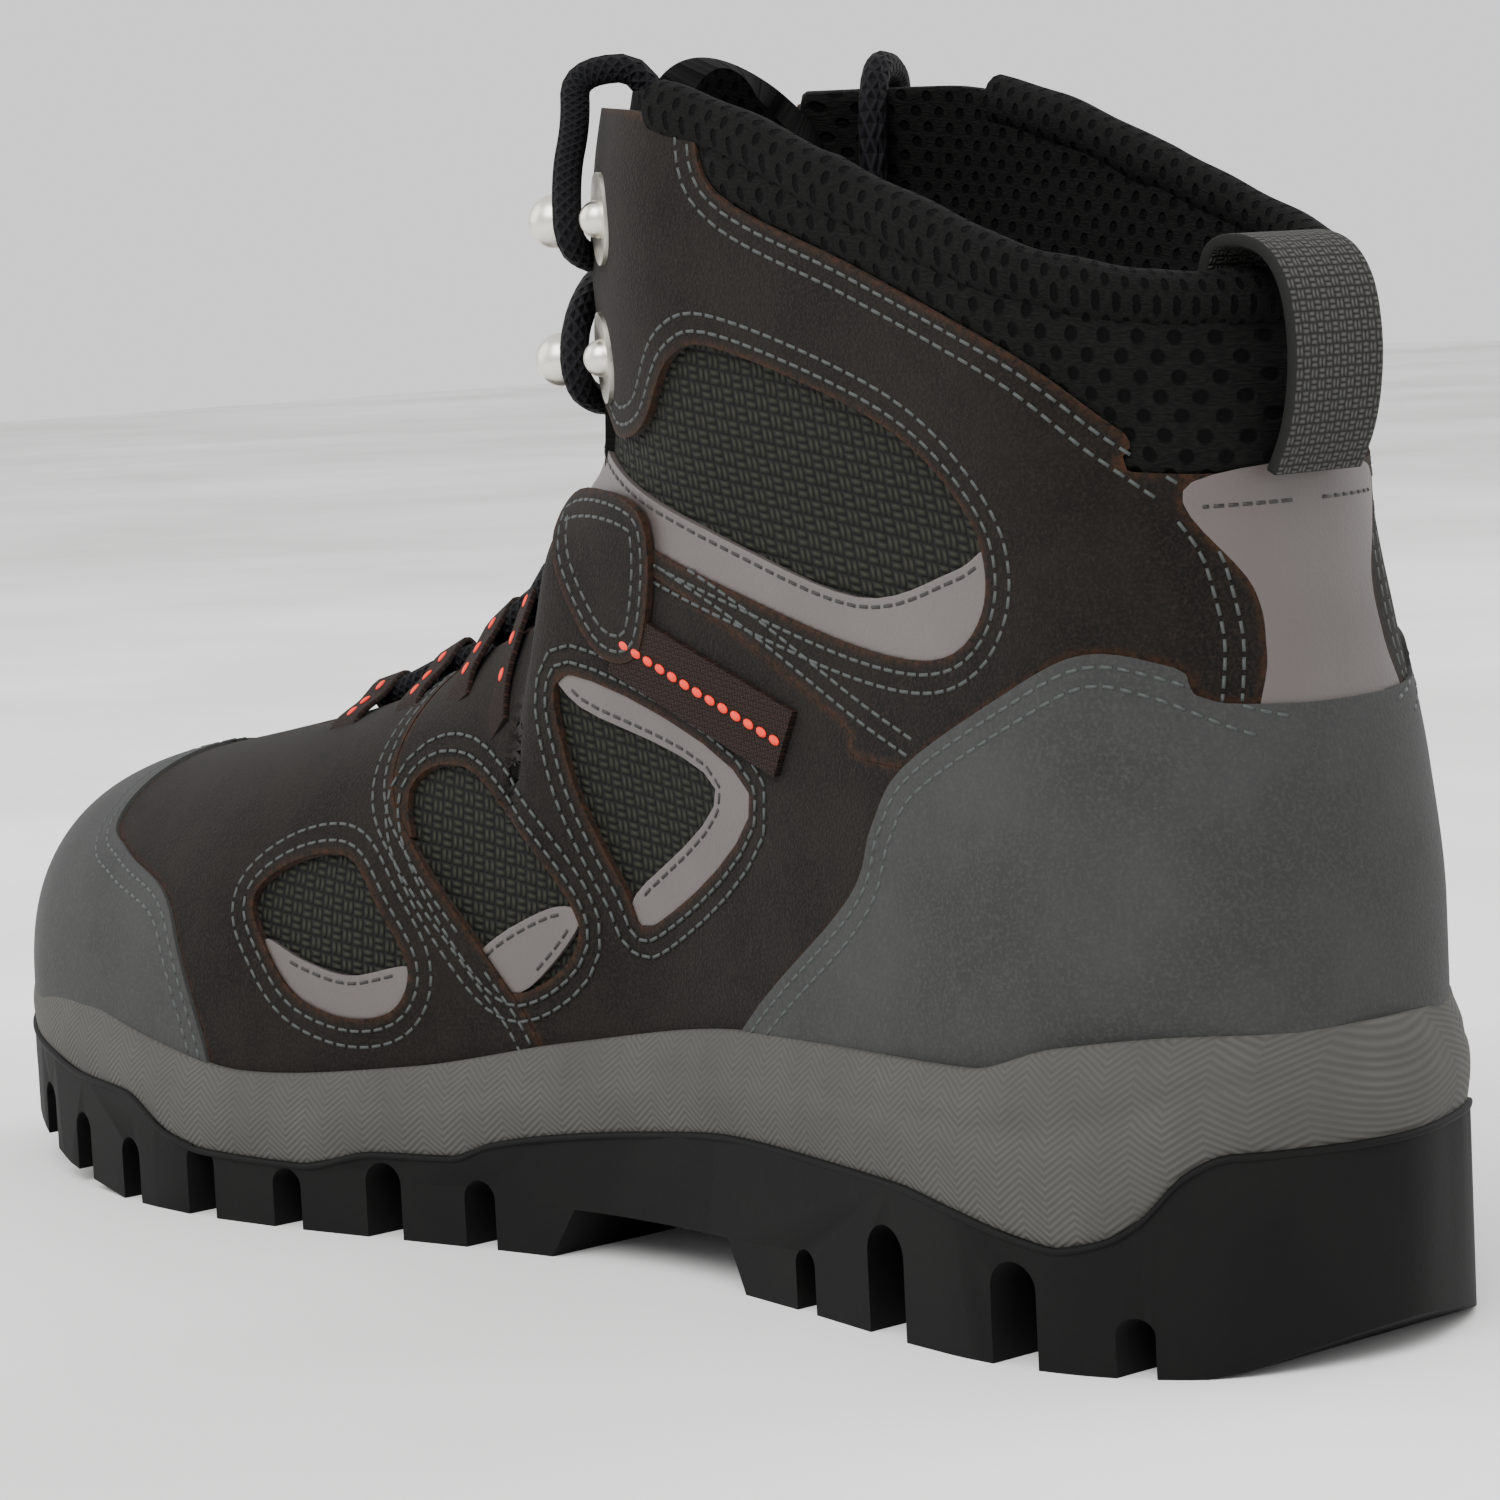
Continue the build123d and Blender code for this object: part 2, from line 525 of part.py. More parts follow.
def make_hooks():
    rivets, washers = [], []
    for name, side in SIDES.items():
        for index, level in enumerate(("lower", "upper")):
            rivet, washer, hole = make_hook(f"{name}_{level}", index, side)
            rivets.append(rivet)
            washers.append(washer)
            for node in (f"{name}_ankle_suede", "woven_underlay"):
                NODES[node] = solid_of(NODES[node] - hole)
    NODES["hook_rivets"] = Compound([s for r in rivets for s in r.solids()])
    NODES["hook_washers"] = Compound([s for w in washers for s in w.solids()])


def make_straps():
    ribbon = (CAP_FORM & side_prism(STRAP)) - OUTER_FORM
    for name, side in SIDES.items():
        keep(f"{name}_strap", ribbon & half(side))


def make_pull_tab():
    """The webbing loop behind the collar."""
    path = FilletPolyline((8.2, 0, 122.6), (4.0, 0, 132), (3.2, 0, 143), (7.5, 0, 153.2), (19, 0, 154.6),
                          (20.4, 0, 141), radius=[8, 10, 5, 5])
    start = Plane(origin=path @ 0, z_dir=path % 0, x_dir=(0, 1, 0))
    keep("pull_tab", sweep(start * Rectangle(PULL_TAB_WIDTH, PULL_TAB_THICKNESS), path=path))


def main():
    make_upper_layers()
    make_caps()
    make_collar()
    for name, side in SIDES.items():
        make_suede(name, side)
        make_loops(name, side)
    make_straps()
    make_tongue()
    make_hooks()
    make_lace()
    make_pull_tab()
    make_sole()
    make_footbed()
    shift = Pos(-BOX_MIDDLE[0], -BOX_MIDDLE[1], 0)
    for name, shape in NODES.items():
        export_step(shift * shape, f"parts/{name}.step")
    box = Compound(list(NODES.values())).bounding_box()
    print("nodes", len(NODES), "box", box.min, box.max)


main()
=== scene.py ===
"""Looks of a right hiking boot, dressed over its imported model."""

import math
import random

import bmesh
import bpy
import numpy as np
from mathutils import Matrix, Vector


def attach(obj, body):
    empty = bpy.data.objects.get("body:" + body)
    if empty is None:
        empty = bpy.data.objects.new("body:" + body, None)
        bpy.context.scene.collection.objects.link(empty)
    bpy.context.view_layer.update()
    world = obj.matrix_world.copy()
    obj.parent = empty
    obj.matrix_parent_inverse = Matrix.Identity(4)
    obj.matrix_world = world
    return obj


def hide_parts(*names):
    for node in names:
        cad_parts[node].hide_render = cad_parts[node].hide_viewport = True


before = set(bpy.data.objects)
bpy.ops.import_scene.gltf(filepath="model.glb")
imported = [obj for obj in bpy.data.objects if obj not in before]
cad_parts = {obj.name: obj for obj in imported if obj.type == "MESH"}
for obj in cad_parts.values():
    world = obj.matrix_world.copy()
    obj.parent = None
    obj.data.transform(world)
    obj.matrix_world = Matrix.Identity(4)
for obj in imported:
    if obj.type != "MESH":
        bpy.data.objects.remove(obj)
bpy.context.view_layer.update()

MM = 0.001
MIDDLE_X, MIDDLE_Y = 151.5, -2.5     # middle of the boot's plan, in the maker's layout
MEDIAL, LATERAL = 1, -1
SIDES = {"medial": MEDIAL, "lateral": LATERAL}


def place(x, y, z):
    """A point of the maker's layout, in millimetres, as a point of the row frame in metres."""
    return Vector(((x - MIDDLE_X) * MM, (y - MIDDLE_Y) * MM, z * MM))


# ---- camera -----------------------------------------------------------------------
def make_camera():
    azimuth, elevation, roll = (math.radians(v) for v in (41.06, 6.23, -2.77))
    back = Vector((-math.cos(azimuth) * math.cos(elevation), math.sin(azimuth) * math.cos(elevation),
                   math.sin(elevation)))
    right = (-back).cross(Vector((0, 0, 1))).normalized()
    up = right.cross(-back)
    turned = math.cos(roll) * right + math.sin(roll) * up
    up = -math.sin(roll) * right + math.cos(roll) * up
    data = bpy.data.cameras.new("camera")
    data.lens = 109.7
    data.clip_start = 0.01
    camera = bpy.data.objects.new("camera", data)
    camera.matrix_world = Matrix.Translation(place(129.2, 0, 77.5) + back * 0.725) @ Matrix(
        (turned, up, back)).transposed().to_4x4()
    bpy.context.collection.objects.link(camera)
    bpy.context.scene.camera = camera


make_camera()


# ---- the shape of the last -------------------------------------------------------
def smooth_curve(points):
    """A monotone cubic through (input, output) points, as a function of arrays."""
    xs = np.array([p[0] for p in points], float)
    ys = np.array([p[1] for p in points], float)
    steps, slopes = np.diff(xs), np.diff(ys) / np.diff(xs)
    product = slopes[:-1] * slopes[1:]
    total = np.where(product > 0, slopes[:-1] + slopes[1:], 1.0)
    inner = np.where(product > 0, 2 * product / total, 0.0)
    tangents = np.concatenate([slopes[:1], inner, slopes[-1:]])

    def value(x):
        x = np.clip(x, xs[0], xs[-1])
        i = np.clip(np.searchsorted(xs, x, side="right") - 1, 0, len(steps) - 1)
        t = (x - xs[i]) / steps[i]
        rise = ys[i] + (ys[i + 1] - ys[i]) * (3 - 2 * t) * t * t
        return rise + steps[i] * (tangents[i] * t * (1 - t) ** 2 - tangents[i + 1] * t * t * (1 - t))

    return value


def ease(value, start, end):
    t = np.clip((value - start) / (end - start), 0.0, 1.0)
    return t * t * (3 - 2 * t)


HEEL_LINE = smooth_curve([(10, 1), (40, 0), (60, 0), (80, 2), (100, 6), (120, 10),
                          (140, 12), (160, 11), (180, 9), (205, 8)])
FRONT_LINE = smooth_curve([(10, 296), (25, 301), (40, 304), (52, 302), (60, 296), (66, 287),
                           (70, 276), (73, 262), (76, 246), (80, 226), (86, 203), (97, 178),
                           (110, 160), (125, 150), (140, 149), (155, 149.5), (170, 147),
                           (185, 142), (205, 136)])
CENTRE_LINE = smooth_curve([(0, 0), (200, 0), (250, 2), (285, 6), (307, 8)])
BREADTH = {
    MEDIAL: smooth_curve([(0, 30), (20, 32), (40, 35), (80, 32), (120, 28), (155, 33), (190, 42),
                          (220, 47), (250, 44), (272, 38), (287, 29), (297, 20), (303, 11), (307, 0)]),
    LATERAL: smooth_curve([(0, 30), (20, 33), (40, 36), (80, 38), (120, 40), (155, 46), (190, 51),
                           (220, 50), (250, 44), (272, 35), (287, 24), (297, 14), (303, 7), (307, 0)]),
}
SOLE_OUTLINE = [(-4, 0), (-2, 11), (5, 25), (18, 35), (40, 40), (70, 37), (100, 33), (125, 32), (155, 37),
                (190, 46), (220, 51), (250, 49), (272, 44), (288, 36), (299, 26), (306, 14), (307, 5),
                (303, -7), (295, -18), (282, -31), (262, -43), (232, -53), (200, -56), (165, -52),
                (130, -47), (100, -43), (70, -42), (40, -41), (18, -35), (5, -25), (-2, -11)]
MIDSOLE_TOP = smooth_curve([(-4, 47), (8, 47), (27, 45), (43, 41), (97, 40), (140, 34), (172, 28), (207, 25),
                            (230, 28), (264, 34), (285, 36), (307, 35)])
SOLE_SPLIT = smooth_curve([(-4, 31), (5, 31), (9, 29), (15, 22), (20, 19), (27, 17.5), (33, 18.5), (45, 21),
                           (59, 23), (98, 24), (121, 22), (145, 19), (155, 17), (162, 14.5), (178, 14),
                           (193, 11), (215, 11.5), (225, 13.5), (238, 19), (254, 20), (267, 22), (290, 25),
                           (307, 27)])
COLLAR_TOP = smooth_curve([(0, 150), (12, 150), (26, 153), (58, 165), (90, 178), (112, 183), (160, 185)])
FACING_EDGE = smooth_curve([(100, 23), (152, 21), (172, 16), (200, 12), (231, 9), (237, 0), (260, -23)])
SOLE_START = 30.0
HEEL_ROUND, TIP_ROUND, NOSE_ROUND = 34.0, 16.0, 46.0

PROFILE_Z = np.linspace(14, 204, 761)
PROFILE_X = FRONT_LINE(PROFILE_Z)
PROFILE_LENGTH = np.concatenate([[0], np.cumsum(np.hypot(np.diff(PROFILE_Z), np.diff(PROFILE_X)))])
FALLING_X = np.maximum.accumulate(PROFILE_X[::-1] + np.linspace(0, 1e-3, 761))


LEG_TOP = smooth_curve([(105, 285), (125, 240), (136, 200), (144, 168), (149, 142), (153, 120.5), (160, 110)])


def top_height(x):
    """Height of the instep above x; behind the leg's front it runs on up, smoothly."""
    return np.where(x < 153, LEG_TOP(x), np.interp(x, FALLING_X, PROFILE_Z[::-1]))


def half_width(x, z, side):
    heel, front = HEEL_LINE(z), FRONT_LINE(z)
    back = np.clip((heel + HEEL_ROUND - x) / HEEL_ROUND, 0, 1)
    heel_factor = (1 - back ** 2.3) ** (1 / 2.3)
    width = np.where(side > 0, BREADTH[MEDIAL](np.maximum(x, 20)), BREADTH[LATERAL](np.maximum(x, 20)))
    ankle = ease(z, 55, 115) * ease(-x, -168, -96)
    width = width * (1 - ankle) + (32 + 6 * np.clip((z - 115) / 50, 0, 1)) * ankle
    rise = np.clip((z - SOLE_START) / (top_height(x) - SOLE_START), 0, 1)
    tip = np.clip((x - front + TIP_ROUND) / TIP_ROUND, 0, 1)
    foot = (1 - rise ** 2.6) ** (1 / 1.8) * (1 - tip ** 3) ** (0.5 * (1 - ease(z, 37, 47)))
    nose = np.clip((x - front + NOSE_ROUND) / NOSE_ROUND, 0, 1)
    blend = ease(z, 106, 130)
    return width * heel_factor * (foot * (1 - blend) + (1 - nose ** 2) ** (1 / 1.7) * blend)


def skin(a, b):
    """The upper's face: a runs round it (0 at the heel, 1 at the toe), b up it, both as arrays."""
    a = (np.asarray(a, float) + 1) % 2 - 1
    z = np.interp(b, PROFILE_LENGTH, PROFILE_Z)
    heel, front = HEEL_LINE(z), FRONT_LINE(z)
    x = heel + (front - heel) * (1 - np.cos(np.pi * np.abs(a))) / 2
    side = np.where(a < 0, -1.0, 1.0)
    return np.stack([x, CENTRE_LINE(x) + side * half_width(x, z, side), z], -1)


def skin_normal(a, b):
    step_a, step_b = 0.004, 0.8
    along = skin(a + step_a, b) - skin(a - step_a, b)
    upward = skin(a, b + step_b) - skin(a, b - step_b)
    normal = np.cross(upward, along)
    return normal / np.maximum(np.linalg.norm(normal, axis=-1, keepdims=True), 1e-9)


def locate(x, z, side):
    """The skin coordinates (a, b) of side points (x, z)."""
    heel, front = HEEL_LINE(z), FRONT_LINE(z)
    share = np.clip((x - heel) / (front - heel), 0.0005, 0.9995)
    return side * np.arccos(1 - 2 * share) / np.pi, np.interp(z, PROFILE_Z, PROFILE_LENGTH)


# ---- regions: positive inside ---------------------------------------------------------
FAR = 12.0      # past this many millimetres outside an outline, only that it is outside matters


def rounded(points, closed=True, per=8):
    """A smooth line through a few points."""
    pts = np.array(points, float)
    count = len(pts)
    line = []
    for i in range(count if closed else count - 1):
        p = [pts[(i + k - 1) % count] if closed else pts[min(max(i + k - 1, 0), count - 1)] for k in range(4)]
        for step in range(per):
            t = step / per
            line.append(0.5 * (2 * p[1] + (p[2] - p[0]) * t + (2 * p[0] - 5 * p[1] + 4 * p[2] - p[3]) * t * t
                               + (3 * p[1] - 3 * p[2] + p[3] - p[0]) * t ** 3))
    if not closed:
        line.append(pts[-1])
    return np.array(line)


def inside(outline):
    """Signed distance to a closed side outline of (x, z) points."""
    start = np.array(outline, float)
    run = np.roll(start, -1, axis=0) - start
    low, high = start.min(0) - FAR, start.max(0) + FAR

    def measure(points):
        value = np.full(len(points), -FAR)
        near = ((points[:, [0, 2]] > low) & (points[:, [0, 2]] < high)).all(1)
        if near.any():
            value[near] = exact(points[near])
        return value

    def exact(points):
        p = points[:, None, [0, 2]] - start[None]
        t = np.clip((p * run).sum(-1) / np.maximum((run * run).sum(-1), 1e-9), 0, 1)
        distance = np.linalg.norm(p - t[..., None] * run, axis=-1).min(1)
        z, z0, z1 = points[:, None, 2], start[:, 1], start[:, 1] + run[:, 1]
        crosses = (z0 > z) != (z1 > z)
        at = start[:, 0] + run[:, 0] * (z - z0) / np.where(run[:, 1] == 0, 1e-9, run[:, 1])
        odd = (crosses & (points[:, None, 0] < at)).sum(1) % 2 == 1
        return np.where(odd, distance, -distance)

    return measure


def both(*regions):
    return lambda p: np.min([r(p) for r in regions], axis=0)


def either(*regions):
    return lambda p: np.max([r(p) for r in regions], axis=0)


def without(region, *holes):
    return lambda p: np.min([region(p)] + [-h(p) for h in holes], axis=0)


def beside_throat(p):
    front = (p[:, 0] > 100) & (p[:, 2] > 62)
    return np.where(front, np.abs(p[:, 1] - CENTRE_LINE(p[:, 0])) - FACING_EDGE(p[:, 0]), 50.0)


def below_collar(depth):
    return lambda p: COLLAR_TOP(p[:, 0]) - depth - p[:, 2]


def above_sole(p):
    return p[:, 2] - (MIDSOLE_TOP(p[:, 0]) - 9)


def on_side(side):
    return lambda p: side * (p[:, 1] - CENTRE_LINE(p[:, 0])) + 1e-4


# ---- meshes ---------------------------------------------------------------------------
def new_piece(name, mesh_maker, body="boot", nodes=(), material=None):
    bm = bmesh.new()
    mesh_maker(bm)
    return finish_piece(name, bm, body, nodes, material)


def finish_piece(name, bm, body, nodes, material):
    mesh = bpy.data.meshes.new(name)
    bm.to_mesh(mesh)
    bm.free()
    mesh.polygons.foreach_set("use_smooth", [True] * len(mesh.polygons))
    piece = bpy.data.objects.new(name, mesh)
    bpy.context.collection.objects.link(piece)
    if material:
        mesh.materials.append(material)
    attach(piece, body)
    if nodes:
        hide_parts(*nodes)
    return piece


def thicken(piece, thickness, edge=0.35):
    """Give a sheet its thickness outwards and soften its cut edges."""
    solid = piece.modifiers.new("thickness", "SOLIDIFY")
    solid.thickness = thickness * MM
    solid.offset = 1.0
    if edge:
        bevel = piece.modifiers.new("edges", "BEVEL")
        bevel.width = edge * MM
        bevel.segments = 2
        bevel.limit_method = "ANGLE"
        bevel.angle_limit = math.radians(50)


def sheet_mesh(bm, region, low, step=1.5, span=(-1.0, 1.0), relief=None):
    """A sheet over the upper, cut to a region: low is its inner face's height over the skin.

    The sheet starts as a flat grid in skin coordinates.  Corners just outside the
    region are pulled back to its edge.  The layers uv and edge hold millimetres.
    """
    top = PROFILE_LENGTH[-1]
    coarse_a, coarse_b = np.meshgrid(np.linspace(*span, 161), np.linspace(0, top, 161), indexing="ij")
    value = region(skin(coarse_a.ravel(), coarse_b.ravel())).reshape(coarse_a.shape)
    kept = np.argwhere(value > -2.5)
    a0, b0 = coarse_a[kept[:, 0].min(), 0] - 0.01, coarse_b[0, kept[:, 1].min()] - 2
    a1, b1 = coarse_a[kept[:, 0].max(), 0] + 0.01, coarse_b[0, kept[:, 1].max()] + 2
    a0, a1 = max(a0, span[0]), min(a1, span[1])
    b0, b1 = max(b0, 0), min(b1, top)
    columns = max(int((a1 - a0) * 320 / step), 4)
    rows = max(int((b1 - b0) / step), 4)
    uv_layer = bm.loops.layers.uv.new("uv")
    edge_layer = bm.verts.layers.float.new("edge")
    bmesh.ops.create_grid(bm, x_segments=columns, y_segments=rows, size=1.0)
    verts = list(bm.verts)
    flat = np.array([v.co[:2] for v in verts])
    ab = np.stack([a0 + (flat[:, 0] + 1) / 2 * (a1 - a0), b0 + (flat[:, 1] + 1) / 2 * (b1 - b0)], 1)
    measure = lambda c: region(skin(c[:, 0], c[:, 1]))
    value = measure(ab)
    is_in = value > 0
    bm.verts.index_update()
    faces = np.array([[v.index for v in f.verts] for f in bm.faces])
    used = is_in[faces].any(1)
    doomed = [f for f, keep in zip(list(bm.faces), used) if not keep]
    ring = faces[used]
    pairs = np.concatenate([ring[:, [i, j]] for i, j in ((0, 1), (1, 2), (2, 3), (3, 0), (0, 2), (1, 3))])
    pairs = np.concatenate([pairs, pairs[:, ::-1]])
    pairs = pairs[~is_in[pairs[:, 0]] & is_in[pairs[:, 1]]]
    outer, inner = ab[pairs[:, 0]].copy(), ab[pairs[:, 1]].copy()
    for _ in range(14):
        middle = (outer + inner) / 2
        good = (measure(middle) > 0)[:, None]
        inner, outer = np.where(good, middle, inner), np.where(good, outer, middle)
    moved = np.linalg.norm((inner - ab[pairs[:, 0]]) * np.array([320.0, 1.0]), axis=1)
    for k in np.argsort(-moved):
        ab[pairs[k, 0]] = inner[k]
    points, normals = skin(ab[:, 0], ab[:, 1]), skin_normal(ab[:, 0], ab[:, 1])
    depth = low + (relief(points) if relief else 0.0)
    edge = np.maximum(measure(ab), 0)
    places = points + normals * (depth[:, None] if np.ndim(depth) else depth)
    length = np.where(ab[:, 0] < 0, -1, 1) * np.abs(points[:, 0] - HEEL_LINE(points[:, 2]))
    flat_x, flat_y = length + 0.35 * points[:, 1], points[:, 2] - 0.15 * points[:, 0]
    for i in np.unique(faces[used]):
        v = verts[i]
        v.co = place(*places[i])
        v[edge_layer] = float(edge[i])
        for loop in v.link_loops:
            loop[uv_layer].uv = (flat_x[i], flat_y[i])
    bmesh.ops.delete(bm, geom=doomed, context="FACES")
    bmesh.ops.delete(bm, geom=[v for v in bm.verts if not v.link_faces], context="VERTS")
    bmesh.ops.remove_doubles(bm, verts=bm.verts, dist=2e-5)
    bmesh.ops.dissolve_degenerate(bm, edges=bm.edges, dist=1e-5)
    face = max(bm.faces, key=lambda f: f.calc_area())
    i = int(np.argmin(np.linalg.norm(places - np.array(unplace(face.calc_center_median())), axis=1)))
    if face.normal.dot(Vector(normals[i])) < 0:
        bmesh.ops.reverse_faces(bm, faces=bm.faces)


def unplace(v):
    return v.x / MM + MIDDLE_X, v.y / MM + MIDDLE_Y, v.z / MM


def panel(name, region, low, high, material, nodes=(), slot=None, body="boot", edge=0.35, **options):
    piece = new_piece(name, lambda bm: sheet_mesh(bm, region, low, **options), body, nodes, material)
    thicken(piece, high - low, edge)
    return piece


# ---- materials -------------------------------------------------------------------------
def linear(colour):
    """An sRGB hex value as linear red, green, blue and alpha."""
    parts = [int(colour[i:i + 2], 16) / 255 for i in (0, 2, 4)]
    return [p / 12.92 if p <= 0.04045 else ((p + 0.055) / 1.055) ** 2.4 for p in parts] + [1.0]


class Finish:
    """One material: add() makes a node with its settings and links."""

    def __init__(self, name, colour, roughness=0.8, **sockets):
        self.material = bpy.data.materials.new(name)
        self.material.use_nodes = True
        self.tree = self.material.node_tree
        self.shader = self.tree.nodes["Principled BSDF"]
        self.shader.inputs["Base Color"].default_value = linear(colour)
        self.shader.inputs["Roughness"].default_value = roughness
        for key, value in sockets.items():
            self.shader.inputs[key.replace("_", " ")].default_value = value

    def add(self, kind, settings=None, output=0, **inputs):
        node = self.tree.nodes.new(kind)
        for key, value in (settings or {}).items():
            setattr(node, key, value)
        for key, value in inputs.items():
            socket = node.inputs[int(key[1:])] if key[0] == "i" and key[1:].isdigit() else node.inputs[key.replace("_", " ")]
            if isinstance(value, bpy.types.NodeSocket):
                self.tree.links.new(value, socket)
            else:
                socket.default_value = value
        return node.outputs[output]

    def math(self, operation, first, second=0.0):
        return self.add("ShaderNodeMath", {"operation": operation}, i0=first, i1=second)

    def object_mm(self):
        where = self.add("ShaderNodeTexCoord", output=3)
        return self.add("ShaderNodeVectorMath", {"operation": "SCALE"}, i0=where, Scale=1000.0)

    def uv_mm(self):
        return self.add("ShaderNodeUVMap", {"uv_map": "uv"})

    def noise(self, vector, size, detail=3.0, roughness=0.6):
        """Noise whose features are about size millimetres."""
        return self.add("ShaderNodeTexNoise", Vector=vector, Scale=1.0 / size, Detail=detail, Roughness=roughness)

    def ramp(self, value, low, high):
        return self.add("ShaderNodeMapRange", i0=value, i1=low, i2=high)

    def mix(self, share, first, second):
        first = linear(first) if isinstance(first, str) else first
        second = linear(second) if isinstance(second, str) else second
        return self.add("ShaderNodeMix", {"data_type": "RGBA"}, 2, i0=share, i6=first, i7=second)

    def colour(self, socket):
        self.tree.links.new(socket, self.shader.inputs["Base Color"])

    def bump(self, height, depth_mm, strength=1.0):
        normal = self.add("ShaderNodeBump", Strength=strength, Distance=depth_mm * MM, Height=height)
        self.tree.links.new(normal, self.shader.inputs["Normal"])


def suede_finish():
    """Split cowhide suede, brushed: a deep matt nap that clouds in patches, with torn brown fibres at cut edges."""
    f = Finish("brushed_suede", "14110f", 0.95, Sheen_Weight=0.04, Sheen_Roughness=0.5, Specular_IOR_Level=0.12)
    where = f.object_mm()
    nap, clouds = f.noise(where, 0.5, 4), f.noise(where, 14.0, 2)
    base = f.mix(f.ramp(clouds, 0.35, 0.65), "0f0d0b", "171411")
    base = f.mix(f.ramp(nap, 0.45, 0.85), base, "28211c")
    frayed = f.math("MULTIPLY", f.ramp(f.add("ShaderNodeAttribute", {"attribute_name": "edge"}, 2), 1.3, 0.0),
                    f.ramp(f.noise(where, 1.1, 4), 0.35, 0.6))
    f.colour(f.mix(frayed, base, "332016"))
    f.bump(nap, 0.35, 0.7)
    return f.material


def nubuck_finish():
    """Sanded nubuck, dyed grey: a very short even nap, with paler rubbed spots."""
    f = Finish("grey_nubuck", "2e2f2e", 0.85, Sheen_Weight=0.04, Specular_IOR_Level=0.2)
    where = f.object_mm()
    nap, clouds = f.noise(where, 0.6, 5), f.noise(where, 22.0, 3)
    base = f.mix(f.ramp(clouds, 0.35, 0.68), "292a29", "313231")
    f.colour(f.mix(f.ramp(nap, 0.45, 0.8), base, "3a3b39"))
    f.bump(nap, 0.2, 0.5)
    return f.material


def trim_finish():
    """Polyurethane-coated synthetic leather, mauve grey: smooth, with a fine pebble and a soft gloss."""
    f = Finish("mauve_synthetic_leather", "4e4745", 0.48)
    where = f.object_mm()
    clouds = f.noise(where, 30.0, 2)
    f.colour(f.mix(f.ramp(clouds, 0.3, 0.7), "4a4341", "534c4a"))
    f.bump(f.add("ShaderNodeTexVoronoi", Vector=where, Scale=1.6), 0.08, 0.4)
    return f.material


def woven(f, period, dark, pale, depth):
    """A basket weave of pairs of yarns, period millimetres across each pair: the colour runs from dark to pale with the
    yarns' height, so the dark is painted shade on the yarns' flanks and in the gaps.
    """
    where = f.uv_mm()
    apart = f.tree.nodes.new("ShaderNodeSeparateXYZ")
    f.tree.links.new(where, apart.inputs[0])
    turn = math.pi / period
    wave = {}
    for key, socket in (("x", apart.outputs[0]), ("y", apart.outputs[1])):
        wave["pair_" + key] = f.math("ABSOLUTE", f.math("SINE", f.math("MULTIPLY", socket, turn)))
        wave["yarn_" + key] = f.math("ABSOLUTE", f.math("SINE", f.math("MULTIPLY", socket, 2 * turn)))
    cell = f.add("ShaderNodeVectorMath", {"operation": "SCALE"}, i0=where, Scale=1 / period)
    over = f.add("ShaderNodeTexChecker", output=1, Vector=cell, Scale=1.0)
    across = f.math("MULTIPLY", wave["yarn_y"], wave["pair_x"])
    along = f.math("MULTIPLY", wave["yarn_x"], wave["pair_y"])
    height = f.add("ShaderNodeMix", {"data_type": "FLOAT"}, i0=over, i2=across, i3=along)
    # painted shade: the weave's hollows and the yarns' flanks go towards the dark colour as the height falls, the
    # crowns towards pale
    f.colour(f.mix(f.ramp(height, 0.1, 0.85), dark, pale))
    f.bump(height, depth)


def textile_finish():
    """Woven nylon in a basket weave, drawn at 2.4 mm a pair: thick matt yarns, with painted shade darkening the gaps
    between them and their flanks.
    """
    f = Finish("basket_weave_nylon", "20221c", 0.8, Specular_IOR_Level=0.2)
    # 060605 is painted shade for the gaps and the yarns' flanks; 26271e is the yarn's own tone
    woven(f, 2.4, "060605", "26271e", 0.7)
    return f.material


def perforated(name, colour, pitch, hole, material_roughness=0.85):
    """Spacer knit: a fine rib, punched with staggered rows of small holes whose near-black insides are painted shade.
    """
    f = Finish(name, colour, material_roughness, Specular_IOR_Level=0.08)
    where = f.uv_mm()
    rib = f.noise(f.add("ShaderNodeMapping", Vector=where, Scale=(0.9, 3.2, 1.0)), 1.0, 2)
    distance = None
    for shift in (0.0, 0.5):
        cell = f.add("ShaderNodeMapping", Vector=where, Scale=(1 / pitch, 0.8 / pitch, 1.0), Location=(shift, shift, 0))
        cell = f.add("ShaderNodeVectorMath", {"operation": "FRACTION"}, i0=cell)
        cell = f.add("ShaderNodeVectorMath", {"operation": "SUBTRACT"}, i0=cell, i1=(0.5, 0.5, 0.0))
        reach = f.add("ShaderNodeVectorMath", {"operation": "LENGTH"}, 1, i0=cell)
        distance = reach if distance is None else f.math("MINIMUM", distance, reach)
    open_hole = f.ramp(distance, hole / pitch * 0.5, hole / pitch * 0.8)
    # painted shade: the holes are painted near black (030303), standing in for their shaded depth
    f.colour(f.mix(open_hole, "030303", f.mix(f.ramp(rib, 0.4, 0.65), colour, "141413")))
    height = f.math("ADD", f.math("MULTIPLY", rib, 0.35), open_hole)
    f.bump(height, 0.6)
    return f.material


def foam_finish():
    """Moulded EVA with a herringbone of fine ribs, drawn 1.1 mm apart, and lighter scuffs; the ribs' troughs are
    painted darker, as painted shade.
    """
    f = Finish("moulded_eva", "464542", 0.75, Specular_IOR_Level=0.2)
    where = f.object_mm()
    apart = f.tree.nodes.new("ShaderNodeSeparateXYZ")
    f.tree.links.new(where, apart.inputs[0])
    zigzag = f.math("PINGPONG", apart.outputs[0], 4.0)
    ribs = f.math("SINE", f.math("MULTIPLY", f.math("ADD", f.math("MULTIPLY", zigzag, 0.8), apart.outputs[2]), 5.7))
    clouds = f.noise(where, 18.0, 3)
    base = f.mix(f.ramp(clouds, 0.35, 0.7), "42413e", "4b4a46")
    # painted shade: the colour goes towards 3e3d3a in the ribs' troughs
    f.colour(f.mix(f.ramp(ribs, -1.2, 1.0), "3e3d3a", base))
    f.bump(ribs, 0.2, 0.35)
    return f.material


